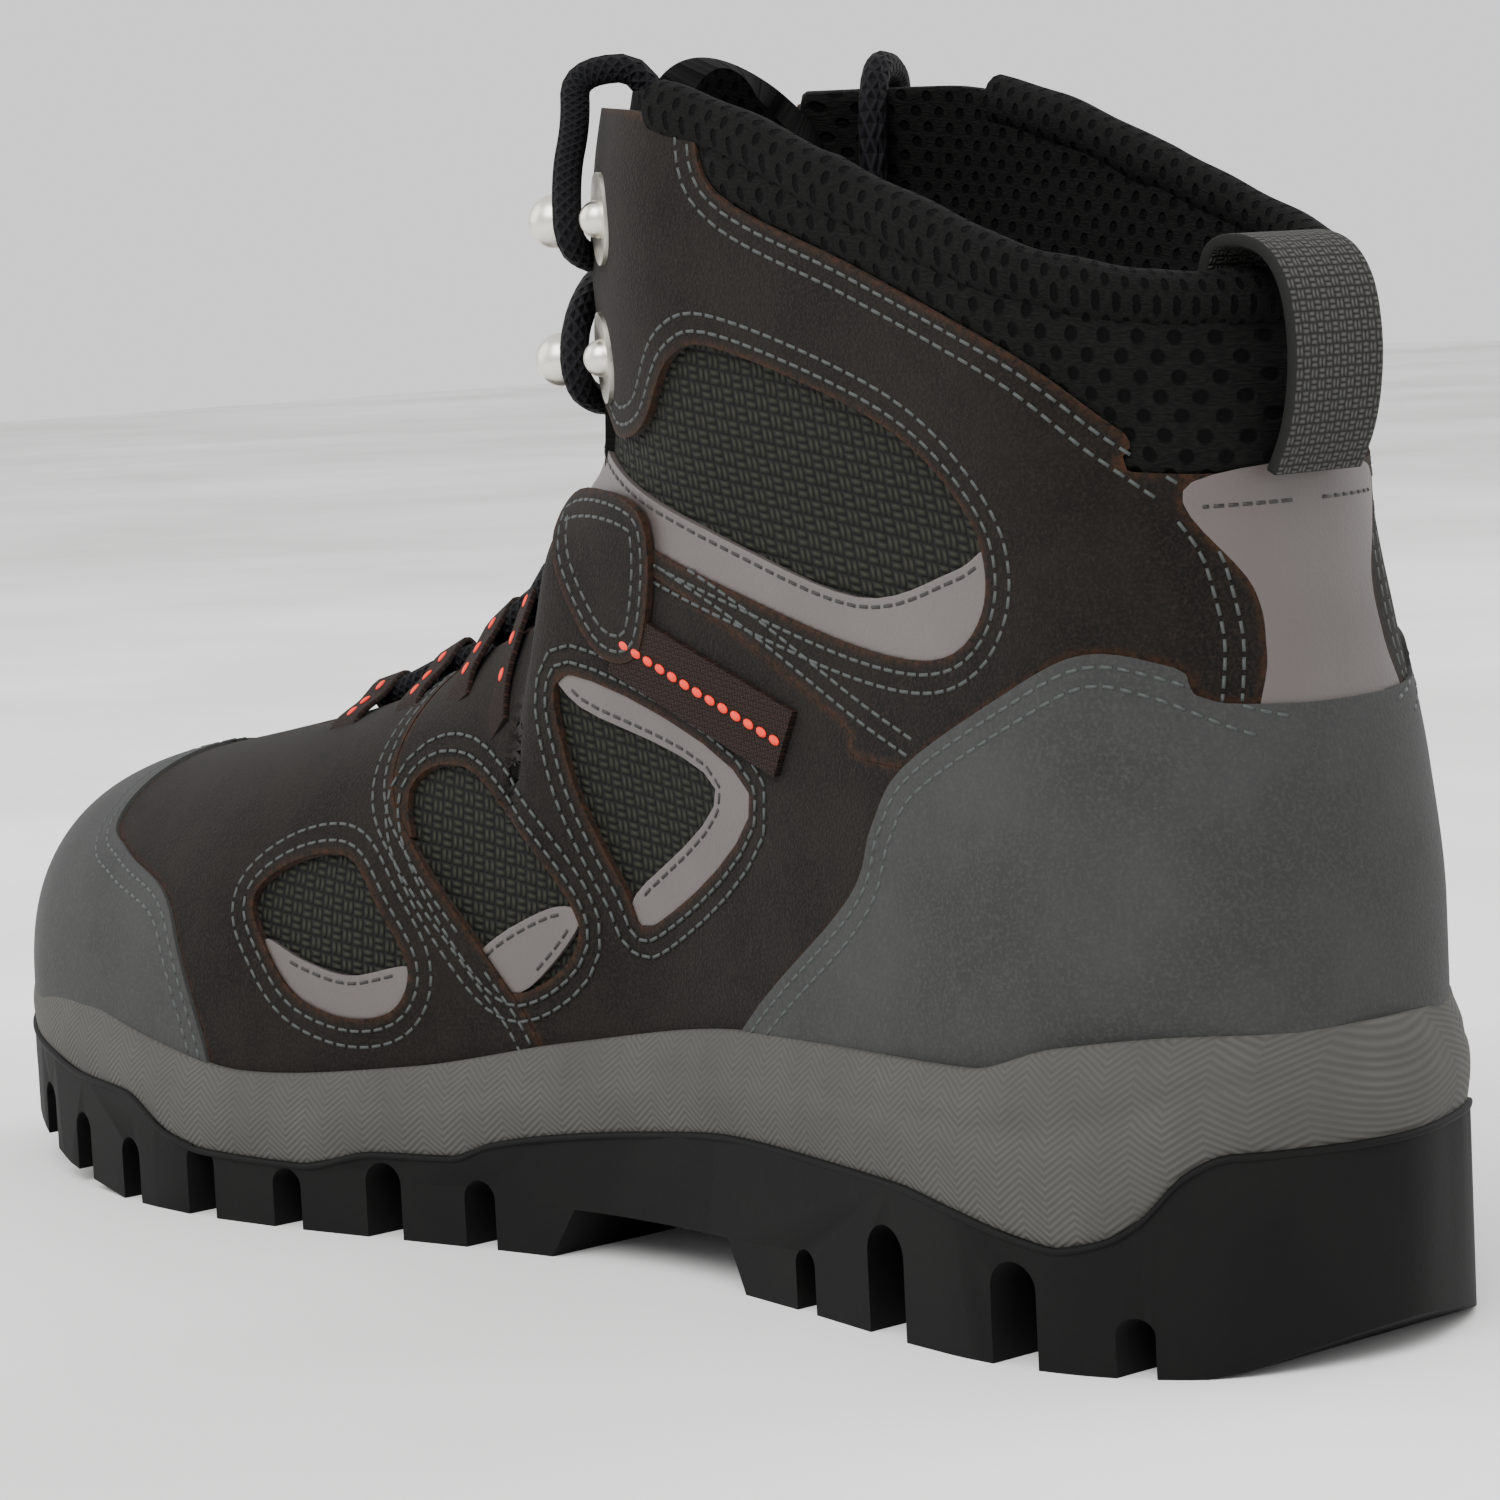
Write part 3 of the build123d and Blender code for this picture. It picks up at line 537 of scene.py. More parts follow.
def rubber_finish():
    """Carbon-filled rubber: near black and matt, with a faint grey bloom and moulding grain."""
    f = Finish("carbon_rubber", "080808", 0.7, Specular_IOR_Level=0.16)
    where = f.object_mm()
    bloom = f.noise(where, 16.0, 4)
    f.colour(f.mix(f.ramp(bloom, 0.35, 0.75), "050505", "0a0a09"))
    f.bump(f.noise(where, 0.8, 3), 0.1, 0.5)
    return f.material


def webbing_finish(name, dark, pale, rib, roughness=0.75):
    """Polyester webbing: fine ribs across the tape, with the warp showing as small steps; the colour dark is painted
    shade in the hollows between the ribs.
    """
    f = Finish(name, pale, roughness, Specular_IOR_Level=0.2)
    woven(f, rib, dark, pale, 0.35)
    return f.material


def metal_finish():
    """Nickel-plated steel, barrel polished: bright and warm, with faint ripples."""
    f = Finish("nickel_plate", "dcd8cd", 0.24, Metallic=1.0)
    where = f.object_mm()
    f.tree.links.new(f.ramp(f.noise(where, 3.0, 3), -0.4, 2.2), f.shader.inputs["Roughness"])
    f.bump(f.noise(where, 2.5, 2), 0.05, 0.4)
    return f.material


def lace_finish():
    """Braided polyester lace: a dark sleeve of crossing strands, drawn 1.3 mm apart, painted darker where the strands
    dip, as painted shade.
    """
    f = Finish("braided_polyester", "0a0a0d", 0.75, Specular_IOR_Level=0.15)
    where = f.uv_mm()
    apart = f.tree.nodes.new("ShaderNodeSeparateXYZ")
    f.tree.links.new(where, apart.inputs[0])
    one = f.math("SINE", f.math("MULTIPLY", f.math("ADD", apart.outputs[0], apart.outputs[1]), 2.9))
    two = f.math("SINE", f.math("MULTIPLY", f.math("SUBTRACT", apart.outputs[0], apart.outputs[1]), 2.9))
    height = f.math("MAXIMUM", one, two)
    # painted shade: the colour goes towards 040405 where the strands dip, towards 101014 on their crowns
    f.colour(f.mix(f.ramp(height, -0.5, 1.0), "040405", "101014"))
    f.bump(height, 0.3)
    return f.material


def plain_finish(name, colour, roughness=0.7, grain=1.0, **sockets):
    """A plain moulded or spun material, with slight unevenness at its own grain size."""
    f = Finish(name, colour, roughness, **sockets)
    where = f.object_mm()
    spread = f.noise(where, grain, 3)
    tone = f.shader.inputs["Base Color"].default_value
    f.colour(f.mix(f.ramp(spread, 0.3, 0.7), [c * 0.8 for c in tone[:3]] + [1.0], [min(c * 1.15, 1) for c in tone[:3]] + [1.0]))
    f.bump(spread, 0.1, 0.4)
    return f.material


SUEDE, NUBUCK, TRIM, TEXTILE = suede_finish(), nubuck_finish(), trim_finish(), textile_finish()
COLLAR_MESH = perforated("collar_spacer_knit", "0b0b0b", 4.2, 1.15)
LINING_MESH = perforated("lining_spacer_knit", "0a0a0a", 4.0, 1.1)
EVA, RUBBER, NICKEL, LACE = foam_finish(), rubber_finish(), metal_finish(), lace_finish()
# the first colour of each webbing is painted shade for the hollows between its ribs, the second the tape's own tone
BROWN_TAPE = webbing_finish("brown_webbing", "100805", "2c1a12", 0.9)
GREY_TAPE = webbing_finish("grey_webbing", "151514", "454441", 1.5)
BOARD = plain_finish("pressed_fibre_board", "a08f74", 0.9, 1.5)
INSOLE = plain_finish("footbed_fabric", "262524", 0.95, 0.8)
THREAD = plain_finish("grey_polyester_thread", "313634", 0.6, 0.4)
DARK_THREAD = plain_finish("dark_polyester_thread", "1b1614", 0.6, 0.4)
ORANGE_THREAD = plain_finish("orange_polyester_thread", "e62800", 0.55, 0.4)
TIP = plain_finish("lace_tip_plastic", "1a1a1a", 0.35, 2.0)
FLOOR = plain_finish("pale_floor", "f4f4f2", 0.9, 400.0)


# ---- shared helpers for pieces -----------------------------------------------------------
def shade_nodes(material, *names):
    """Give a material to nodes that stay as the model made them."""
    for name in names:
        node = bpy.data.objects[name]
        node.data.materials.clear()
        node.data.materials.append(material)


def copied_node(bm, name, merge=1e-5):
    """A node's own mesh, welded."""
    bm.from_mesh(bpy.data.objects[name].data)
    bmesh.ops.remove_doubles(bm, verts=bm.verts, dist=merge)


def surface_frame(x, z, side):
    """On the skin at side point (x, z): the point, outward normal, and the forward and upward tangents."""
    a, b = locate(np.array([x]), np.array([z]), side)
    point, normal = skin(a, b)[0], skin_normal(a, b)[0]
    normal = Vector(normal)
    forward = Vector((1, 0, 0))
    forward = (forward - normal * forward.dot(normal)).normalized()
    upward = normal.cross(forward)
    if upward.z < 0:
        upward = -upward
    return Vector(point), normal, forward, upward


def seam_line(outline, inset, closed=True):
    """An (x, z) outline moved inwards by an inset."""
    pts = np.array(outline, float)
    if closed:
        ahead, behind = np.roll(pts, -1, axis=0), np.roll(pts, 1, axis=0)
    else:
        ahead, behind = np.vstack([pts[1:], pts[-1:]]), np.vstack([pts[:1], pts[:-1]])
    run = ahead - behind
    run /= np.maximum(np.linalg.norm(run, axis=1, keepdims=True), 1e-9)
    normal = np.stack([-run[:, 1], run[:, 0]], 1)
    area = 0.5 * np.sum(pts[:, 0] * np.roll(pts[:, 1], -1) - np.roll(pts[:, 0], -1) * pts[:, 1])
    return pts + normal * inset * (1 if area > 0 or not closed else -1)


def stitch_row(bm, line, side, lift, pitch=2.5, length=1.75, width=0.6, kept=None):
    """A row of thread stitches along an (x, z) line on one side, lift millimetres over the skin."""
    line = np.array(line, float)
    a, b = locate(line[:, 0], line[:, 1], side)
    path = skin(a, b)
    reach = np.concatenate([[0], np.cumsum(np.linalg.norm(np.diff(path, axis=0), axis=1))])
    spots = np.arange(pitch * 0.5, reach[-1], pitch)
    ends = [np.array([np.interp(spots + shift, reach, line[:, k]) for k in (0, 1)]).T for shift in (-length / 2, length / 2)]
    (a0, b0), (a1, b1) = (locate(e[:, 0], e[:, 1], side) for e in ends)
    start, stop = skin(a0, b0), skin(a1, b1)
    normal = skin_normal((a0 + a1) / 2, (b0 + b1) / 2)
    for p, q, n in zip(start, stop, normal):
        middle = (p + q) / 2
        if kept is not None and kept(middle[None])[0] < 0:
            continue
        stitch(bm, Vector(p), Vector(q), Vector(n), lift, width)


def stitch(bm, start, stop, normal, lift, width):
    """One stitch: a short straight thread of six sides, laid over the cloth at the given lift."""
    along = (stop - start)
    size = along.length
    if size < 0.05:
        return
    along.normalize()
    across = normal.cross(along).normalized()
    made = bmesh.ops.create_cone(bm, segments=6, radius1=0.5, radius2=0.5, depth=1.0, cap_ends=True)
    for v in made["verts"]:
        end = v.co.z
        v.co = Vector((v.co.x, v.co.y, end))
    middle = (start + stop) / 2 + normal * lift
    turn = Matrix((across, normal, along)).transposed()
    for v in made["verts"]:
        local = Vector((v.co.x * width, v.co.y * width * 0.8 - 0.12, v.co.z * size))
        v.co = place(*(middle + turn @ local))


def capsule_rows(name, rows, material, nodes=(), body="boot"):
    """All the stitches of one thread: rows is a list of stitch_row settings."""
    def make(bm):
        for row in rows:
            stitch_row(bm, **row)
    return new_piece(name, make, body, nodes, material)



# ---- cut lines of the panels, as side points (x, z) -----------------------------------------
TOE_CAP_LINE = [(270, 90), (262, 64), (250, 58), (232, 53), (224, 44), (216, 25), (213, 0)]
HEEL_CAP_LINE = [(-60, 90), (4, 91), (14, 97), (25, 99), (38, 93), (58, 82), (65, 73), (71, 62), (99, 40), (112, 20),
                 (116, 0)]
SUEDE_EDGE = [(-60, 123), (14, 123), (20, 129), (34, 141), (60, 153), (88, 165), (91, 179), (92, 200)]
FOREFOOT_SEAM = [(186, 100), (183, 76), (172, 62), (157, 46), (146, 31), (138, 0)]
ANKLE_SEAM = [(58, 82), (72, 88), (100, 102), (126, 112), (146, 118), (170, 122)]
WINDOWS = {
    1: [(207, 54), (199, 60), (187, 61), (179, 53), (173, 44), (176, 37), (185, 35), (196, 38), (203, 46)],
    2: [(177, 72), (162, 75), (138, 53), (151, 41), (163, 50)],
    3: [(138, 92), (95, 76), (121, 54), (128, 59), (139, 78)],
    4: [(170, 125), (170, 142), (134, 134), (124, 129), (113, 131), (103, 141), (91, 142), (59, 131), (45, 119),
        (42, 106), (50, 98), (69, 99), (102, 108), (128, 116)],
}
TRIMS = {
    1: [(203.5, 47), (196, 38), (185, 35), (176, 37), (173, 44), (185, 42), (195, 44)],
    2: [(159, 47), (151, 41), (138, 53), (144, 55)],
    3: [(139, 93), (95, 76), (121, 54), (126, 58), (104, 76), (136, 87)],
    4: [(170, 125), (128, 116), (102, 108), (69, 99), (50, 98), (42, 106), (42, 113), (49, 110), (69, 106), (101, 115),
        (138, 128), (170, 136)],
}
STRAP = [(122, 103), (82, 89), (87, 79), (127, 93)]
STRAP_TAB = [(143, 118), (116, 118), (118, 97), (131, 97)]
ROLL_DEPTH = 5.0


def smooth_outline(points, closing=()):
    """A soft-cornered outline: the given line smoothed, then closed by straight corners."""
    if not closing:
        return rounded(points, per=6)
    return np.vstack([rounded(points, closed=False, per=5), np.array(closing, float)])


TOE_ZONE = inside(smooth_outline(TOE_CAP_LINE, [(360, 0), (360, 90)]))
HEEL_ZONE = inside(smooth_outline(HEEL_CAP_LINE, [(-60, 0)]))
COLLAR_ZONE = inside(smooth_outline(SUEDE_EDGE, [(-60, 200)]))
FRONT_ZONE = inside(smooth_outline(FOREFOOT_SEAM, [(360, 0), (360, 100)]))
ANKLE_ZONE = inside(smooth_outline([(-60, 80)] + ANKLE_SEAM + [(230, 122)], [(230, 230), (-60, 230)]))
WINDOW_ZONES = {i: inside(smooth_outline(w)) for i, w in WINDOWS.items()}
TRIM_ZONES = {i: inside(smooth_outline(t)) for i, t in TRIMS.items()}
PATCH_OUTLINE = np.array([(-14, 84), (14, 84), (12, 98), (12, 107), (18, 122), (-18, 122), (-12, 107), (-12, 98)], float)
PATCH_IN_PLAN = inside(rounded(PATCH_OUTLINE))


def patch_zone(p):
    """The heel patch is cut on its rear view."""
    rear = np.stack([p[:, 1], p[:, 1], p[:, 2]], -1)
    return np.minimum(PATCH_IN_PLAN(rear), 60 - p[:, 0])


UPPER = both(above_sole, below_collar(ROLL_DEPTH), beside_throat)
SUEDE_AREA = without(UPPER, TOE_ZONE, HEEL_ZONE, COLLAR_ZONE, patch_zone)
SPANS = {"medial": (0.0, 1.0), "lateral": (-1.0, 0.0)}


# ---- the upper ----------------------------------------------------------------------------
panel("woven_underlay_cloth", UPPER, -3.0, -1.3, TEXTILE,
      ["woven_underlay", "heel_counter", "toe_puff", "medial_collar_foam", "lateral_collar_foam"], "woven_textile",
      step=2.2, edge=0, span=(-1.0, 1.0))
panel("toe_cap_shell", both(above_sole, TOE_ZONE, beside_throat), -1.3, 0.8, NUBUCK, ["toe_cap"], "cap_nubuck", step=1.3,
      span=(0.3, 1.7))
panel("heel_cap_shell", both(above_sole, HEEL_ZONE), -1.3, 0.8, NUBUCK, ["heel_cap"], "cap_nubuck", step=1.3,
      span=(-0.8, 0.8))
panel("heel_patch_shell", without(both(UPPER, patch_zone), HEEL_ZONE), -1.3, 0.2, TRIM, ["heel_patch"], "trim_synthetic",
      step=1.1, span=(-0.6, 0.6))
for side_name, side in SIDES.items():
    span = SPANS[side_name]
    panel(f"{side_name}_forefoot_panel", without(both(SUEDE_AREA, FRONT_ZONE), WINDOW_ZONES[1]), -1.3, 0.1, SUEDE,
          [f"{side_name}_forefoot_suede"], "suede", step=1.3, span=span)
    panel(f"{side_name}_ankle_panel", without(both(SUEDE_AREA, ANKLE_ZONE), WINDOW_ZONES[4]), -1.3, 0.1, SUEDE,
          [f"{side_name}_ankle_suede"], "suede", step=1.3, span=span)
    panel(f"{side_name}_quarter_panel", without(SUEDE_AREA, FRONT_ZONE, ANKLE_ZONE, WINDOW_ZONES[2], WINDOW_ZONES[3]),
          -1.3, -0.1, SUEDE, [f"{side_name}_quarter_suede"], "suede", step=1.3, span=span)
    for index, zone in TRIM_ZONES.items():
        panel(f"{side_name}_trim_{index}", both(zone, UPPER), -1.3, -0.4, TRIM, [f"{side_name}_window_trim_{index}"],
              "trim_synthetic", step=1.0, span=span)
    panel(f"{side_name}_strap_tape", inside(np.array(STRAP, float)), 0.0, 1.1, BROWN_TAPE, [f"{side_name}_strap"],
          "brown_webbing", step=0.9, span=span)
    panel(f"{side_name}_strap_tab", inside(rounded(STRAP_TAB)), 0.1, 1.3, SUEDE, (), "suede", step=1.0, span=span)


def collar_swell(p):
    """The padding stands proudest half way between the suede's edge and the roll."""
    room = np.minimum(np.maximum(COLLAR_ZONE(p), 0), np.maximum(below_collar(ROLL_DEPTH)(p), 0))
    return 2.0 * np.sin(np.clip(room / 9.0, 0, 1) * math.pi / 2)


COLLAR_PAD = both(UPPER, COLLAR_ZONE)
for side_name, side in SIDES.items():
    pad = panel(f"{side_name}_collar_padding", COLLAR_PAD, -1.4, -0.6, COLLAR_MESH, [f"{side_name}_collar_pad"],
                "collar_mesh", step=1.5, span=SPANS[side_name], relief=collar_swell, edge=0)

# ---- lining, collar roll and tongue ------------------------------------------------------------
def lining_fit(p):
    """A small bulge between the collar's edge and the heel's cup; the lining panel does not use it."""
    return 1.2 * np.sin(np.clip((p[:, 2] - 110) / 60, 0, 1) * math.pi)


INNER = both(lambda p: p[:, 2] - 30, below_collar(2.0), beside_throat)
panel("lining_cloth", INNER, -6.5, -4.2, LINING_MESH, ["lining"], "lining_mesh", step=2.2, edge=0)


def collar_tube(bm):
    """The rolled top edge: a soft tube that follows the collar line from facing to facing."""
    uv_layer = bm.loops.layers.uv.new("uv")
    steps, sides = 180, 16
    bmesh.ops.create_grid(bm, x_segments=steps, y_segments=sides, size=1.0)
    a_end = 0.62
    for v in bm.verts:
        t, u = v.co.x, (v.co.y + 1) * math.pi
        a = np.array([a_end * t])
        x = float(skin(a, np.array([200.0]))[0][0])
        for _ in range(6):
            z = float(COLLAR_TOP(np.array([x]))[0])
            b = np.interp(z - 4.0, PROFILE_Z, PROFILE_LENGTH)
            x = float(skin(a, np.array([b]))[0][0])
        point, normal = Vector(skin(a, np.array([b]))[0]), Vector(skin_normal(a, np.array([b]))[0])
        wave = 1 + 0.05 * math.sin(t * 37) * math.sin(t * 11 + 1)
        centre = point - normal * 3.2
        spot = centre + normal * math.cos(u) * 4.2 * wave + Vector((0, 0, 1)) * math.sin(u) * 4.4 * wave
        v.co = place(*spot)
        for loop in v.link_loops:
            loop[uv_layer].uv = (t * 150, u * 4.3)
    bmesh.ops.remove_doubles(bm, verts=bm.verts, dist=1e-5)
    bmesh.ops.recalc_face_normals(bm, faces=bm.faces)


roll = new_piece("collar_rolled_edge", collar_tube, "boot", ["collar_roll"], COLLAR_MESH)


def front_point(height, out):
    """A point on the instep line moved outwards."""
    x0, x1 = FRONT_LINE(np.array([height - 1.0, height + 1.0]))
    dx = float(x1 - x0)
    size = math.hypot(dx, 2.0)
    x = float(FRONT_LINE(np.array([height]))[0]) + out * 2.0 / size
    return Vector((x, float(CENTRE_LINE(np.array([x]))[0]), height - out * dx / size))


def tongue_sheet(bm):
    """The tongue's face: it follows the instep, wraps back at its sides and has a rounded top."""
    uv_layer = bm.loops.layers.uv.new("uv")
    columns, rows = 36, 70
    bmesh.ops.create_grid(bm, x_segments=columns, y_segments=rows, size=1.0)
    route = rounded([(75, 0), (79, 0), (84, 0), (92, 0), (104, 0), (120, 0), (140, 0), (160, 0), (176, 0), (189, 0)],
                    closed=False, per=8)[:, 0]
    for v in bm.verts:
        across, t = v.co.x, (v.co.y + 1) / 2
        height = float(np.interp(t, np.linspace(0, 1, len(route)), route))
        half = float(np.interp(height, [74, 90, 110, 150, 180, 189], [14, 20, 22.5, 23.5, 22.5, 20.5]))
        corner = max(height - 174, 0) / 15
        half *= 1 - 0.28 * corner ** 3
        y = across * half
        sag = 0.015 * y * y + 2.2 * max(corner, 0) ** 2 * across * across
        plump = 0.9 * (1 - across ** 4) * min(1, (190 - height) / 12)
        spot = front_point(height - 5.0 * across * across * corner, -8.3 - sag + plump)
        v.co = place(spot.x, spot.y + y, spot.z)
        for loop in v.link_loops:
            loop[uv_layer].uv = (y, height * 1.1)
    bmesh.ops.recalc_face_normals(bm, faces=bm.faces)
    front = max(bm.faces, key=lambda f: f.calc_center_median().z)
    if front.normal.x < 0:
        bmesh.ops.reverse_faces(bm, faces=bm.faces)


tongue = new_piece("tongue_cushion", tongue_sheet, "tongue", ["tongue_face", "tongue_pad"], LINING_MESH)
wall = tongue.modifiers.new("thickness", "SOLIDIFY")
wall.thickness = 5.5 * MM
wall.offset = -1.0
roundness = tongue.modifiers.new("soft_edges", "BEVEL")
roundness.width = 2.4 * MM
roundness.segments = 4
roundness.limit_method = "ANGLE"


# ---- lace, loops, hooks --------------------------------------------------------------------------
LOOP_HEIGHTS = [83, 90, 99, 110]
CROSS_HEIGHTS = [86.5, 94.5, 104.5, 133, 157]
HOOKS = [(127, 141), (121, 162)]
LOOP_RADIUS = 3.2
LACE_TOP = 184.5        # where the lace ends pass over the facings


def skin_height(x, y, side):
    low, high = 60.0, float(top_height(np.array([x]))[0])
    for _ in range(30):
        middle = (low + high) / 2
        edge = float(CENTRE_LINE(np.array([x]))[0] + side * half_width(np.array([x]), np.array([middle]), side)[0])
        low, high = (middle, high) if side * (edge - y) > 0 else (low, middle)
    return low


def loop_frame(level, side):
    x = float(FRONT_LINE(np.array([float(LOOP_HEIGHTS[level])]))[0])
    y = side * (float(FACING_EDGE(np.array([x]))[0]) - 3.6)
    centre = Vector((x, y, skin_height(x, y, side) + 1.2))
    along = (front_point(LOOP_HEIGHTS[level] + 2, 0) - front_point(LOOP_HEIGHTS[level] - 2, 0)).normalized()
    return centre, along


def lace_half(side, lift):
    """The lace from the lowest loop up to its end behind the facing's top."""
    points = []
    for level in range(4):
        centre, along = loop_frame(level, side)
        points += [centre - along * 4.5, centre + along * 4.5, front_point(CROSS_HEIGHTS[level], lift)]
        side = -side
    for index in (0, 1):
        here, normal, forward, _ = surface_frame(*HOOKS[index], side)
        middle = here + forward * 5.4 + normal * 4.3
        points += [middle - Vector((0, 0, 6.5)), middle + Vector((0, 0, 6.5))]
        if index == 0:
            points.append(front_point(CROSS_HEIGHTS[4], lift + 2.4))
            side = -side
    here, normal, _, _ = surface_frame(HOOKS[1][0] + 3, 176, side)
    outside, within = here + normal * 3.8, here - normal * 10.2
    points += [outside, Vector((outside.x, outside.y, LACE_TOP)), Vector((within.x, within.y, LACE_TOP)),
               Vector((within.x, within.y, 163))]
    return points


def cord_mesh(name, points, radius, resolution=6):
    """A round cord along a smooth route, with uv in millimetres along and round it."""
    curve = bpy.data.curves.new(name, "CURVE")
    curve.dimensions = "3D"
    spline = curve.splines.new("NURBS")
    spline.points.add(len(points) - 1)
    for spot, p in zip(spline.points, points):
        spot.co = (*place(*p), 1.0)
    spline.order_u = 3
    spline.use_endpoint_u = True
    curve.resolution_u = resolution
    curve.bevel_depth = radius * MM
    curve.bevel_resolution = 3
    curve.use_fill_caps = True
    maker = bpy.data.objects.new(name + "_route", curve)
    mesh = bpy.data.meshes.new_from_object(maker)
    layer = mesh.uv_layers[0]
    layer.name = "uv"
    length = spline.calc_length() / MM
    for item in layer.data:
        item.uv = (item.uv[0] * length, item.uv[1] * 2 * math.pi * radius)
    bpy.data.objects.remove(maker)
    return mesh


def mesh_piece(name, mesh, material, nodes=(), body="boot"):
    piece = bpy.data.objects.new(name, mesh)
    bpy.context.collection.objects.link(piece)
    mesh.materials.clear()
    mesh.materials.append(material)
    mesh.polygons.foreach_set("use_smooth", [True] * len(mesh.polygons))
    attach(piece, body)
    if nodes:
        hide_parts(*nodes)
    return piece


lace_route = list(reversed(lace_half(LATERAL, -2.6))) + lace_half(MEDIAL, 3.0)
mesh_piece("lace_cord", cord_mesh("lace_cord", lace_route, 2.3), LACE, ["lace"])


def ribbon(bm, route, width, thick, across, steps=6):
    """A flat tape along layout points; across gives its width's direction at each point."""
    line = rounded3(route, per=steps)
    sideways = rounded3(across, per=steps)
    uv_layer = bm.loops.layers.uv.get("uv") or bm.loops.layers.uv.new("uv")
    columns = 8
    old = set(bm.verts)
    bmesh.ops.create_grid(bm, x_segments=len(line) - 1, y_segments=columns, size=1.0)
    reach = np.concatenate([[0], np.cumsum(np.linalg.norm(np.diff(np.array(line), axis=0), axis=1))])
    for v in set(bm.verts) - old:
        i = round((v.co.x + 1) / 2 * (len(line) - 1))
        t = v.co.y
        spot = Vector(line[i]) + Vector(sideways[i]).normalized() * t * width / 2
        v.co = place(*spot)
        for loop in v.link_loops:
            loop[uv_layer].uv = (reach[i], t * width / 2)


def rounded3(points, per=6):
    """A smooth open line through a few points in space."""
    pts = np.array([tuple(p) for p in points], float)
    line = []
    for i in range(len(pts) - 1):
        p = [pts[min(max(i + k - 1, 0), len(pts) - 1)] for k in range(4)]
        for t in np.arange(per) / per:
            line.append(0.5 * (2 * p[1] + (p[2] - p[0]) * t + (2 * p[0] - 5 * p[1] + 4 * p[2] - p[3]) * t * t
                               + (3 * p[1] - 3 * p[2] + p[3] - p[0]) * t ** 3))
    line.append(pts[-1])
    return line


def tape(name, route, width, thick, across, material, nodes=(), steps=6):
    piece = new_piece(name, lambda bm: ribbon(bm, route, width, thick, across, steps), "boot", nodes, material)
    solid = piece.modifiers.new("thickness", "SOLIDIFY")
    solid.thickness = thick * MM
    solid.offset = 0.0
    bevel = piece.modifiers.new("edges", "BEVEL")
    bevel.width = 0.3 * MM
    bevel.segments = 2
    bevel.limit_method = "ANGLE"
    return piece


# the pull tab is one tape, doubled over and sewn down inside and outside the collar
TAB_ROUTE = [(8.2, 0, 122.6), (5.5, 0, 128), (4.0, 0, 134), (3.6, 0, 141), (4.8, 0, 148), (8.0, 0, 152.6), (13, 0, 154.4),
             (18, 0, 153.4), (20, 0, 148), (20.4, 0, 141)]
tape("pull_tab_tape", TAB_ROUTE, 18.0, 1.8, [(0, 1, 0)] * len(TAB_ROUTE), GREY_TAPE, ["pull_tab"])


def loop_tape(level, side):
    """A webbing loop: over the facing, round the lace and back under, on the loop's own axis."""
    centre, along = loop_frame(level, side)
    outward = along.cross(Vector((0, 1, 0))).normalized()
    outward = -outward if outward.z < 0 else outward
    inward = Vector((0, -side, 0))

    def beside(distance, lift):
        y = centre.y + side * distance
        return Vector((centre.x, y, skin_height(centre.x, y, side))) + outward * lift

    ring = [beside(11.5, -1.2), beside(9.5, 0.6), beside(6.5, 1.3), beside(3.6, 1.9)]
    for angle in (75, 35, -5, -45, -80):
        turn = math.radians(angle)
        ring.append(centre + (inward * math.cos(turn) + outward * math.sin(turn)) * LOOP_RADIUS)
    ring += [beside(3.0, -2.6), beside(7.0, -3.0)]
    return ring, along, outward


def dash_row(bm, start, stop, normal, count, size=(1.5, 2.5, 0.7)):
    """A row of oval dashes of thick thread."""
    run = (stop - start)
    along = run.normalized()
    across = normal.cross(along).normalized()
    for k in range(count):
        spot = start + run * (k + 0.5) / count
        made = bmesh.ops.create_uvsphere(bm, u_segments=10, v_segments=6, radius=0.5)
        for v in made["verts"]:
            local = along * v.co.x * size[1] + across * v.co.y * size[0] + normal * v.co.z * size[2]
            v.co = place(*(spot + local))


for side_name, side in SIDES.items():
    dashes = bmesh.new()
    for level in range(4):
        route, along, outward = loop_tape(level, side)
        tape(f"{side_name}_loop_tape_{level + 1}", route, 7.5, 1.0, [along] * len(route), BROWN_TAPE,
             [f"{side_name}_lace_loop_{level + 1}"], steps=3)
        for first, second in ((1, 2), (2, 3), (3, 4)):
            leaning = (route[second] - route[first]).cross(along).normalized()
            leaning = -leaning if leaning.dot(outward) < 0 else leaning
            dash_row(dashes, route[first] + leaning * 0.6, route[second] + leaning * 0.6, leaning, 1)
    start, stop = [Vector(v) for v in (((STRAP[0][0] + STRAP[3][0]) / 2, 0, (STRAP[0][1] + STRAP[3][1]) / 2),
                                       ((STRAP[1][0] + STRAP[2][0]) / 2, 0, (STRAP[1][1] + STRAP[2][1]) / 2))]
    count = 13
    for k in range(count):
        x, z = (start.lerp(stop, (k + 0.6) / (count + 0.4))).xz
        here, normal, forward, upward = surface_frame(x, z, side)
        x2, z2 = (start.lerp(stop, (k + 1.0) / (count + 0.4))).xz
        there = surface_frame(x2, z2, side)[0]
        dash_row(dashes, here + normal * 1.2, there + normal * 1.2, normal, 1)
    finish_piece(f"{side_name}_orange_dashes", dashes, "boot", (), ORANGE_THREAD)

# ---- the sole --------------------------------------------------------------------------------
SOLE_LINE = rounded(SOLE_OUTLINE, per=10)
SOLE_REACH = np.concatenate([[0], np.cumsum(np.linalg.norm(np.diff(np.vstack([SOLE_LINE, SOLE_LINE[:1]]), axis=0), axis=1))])


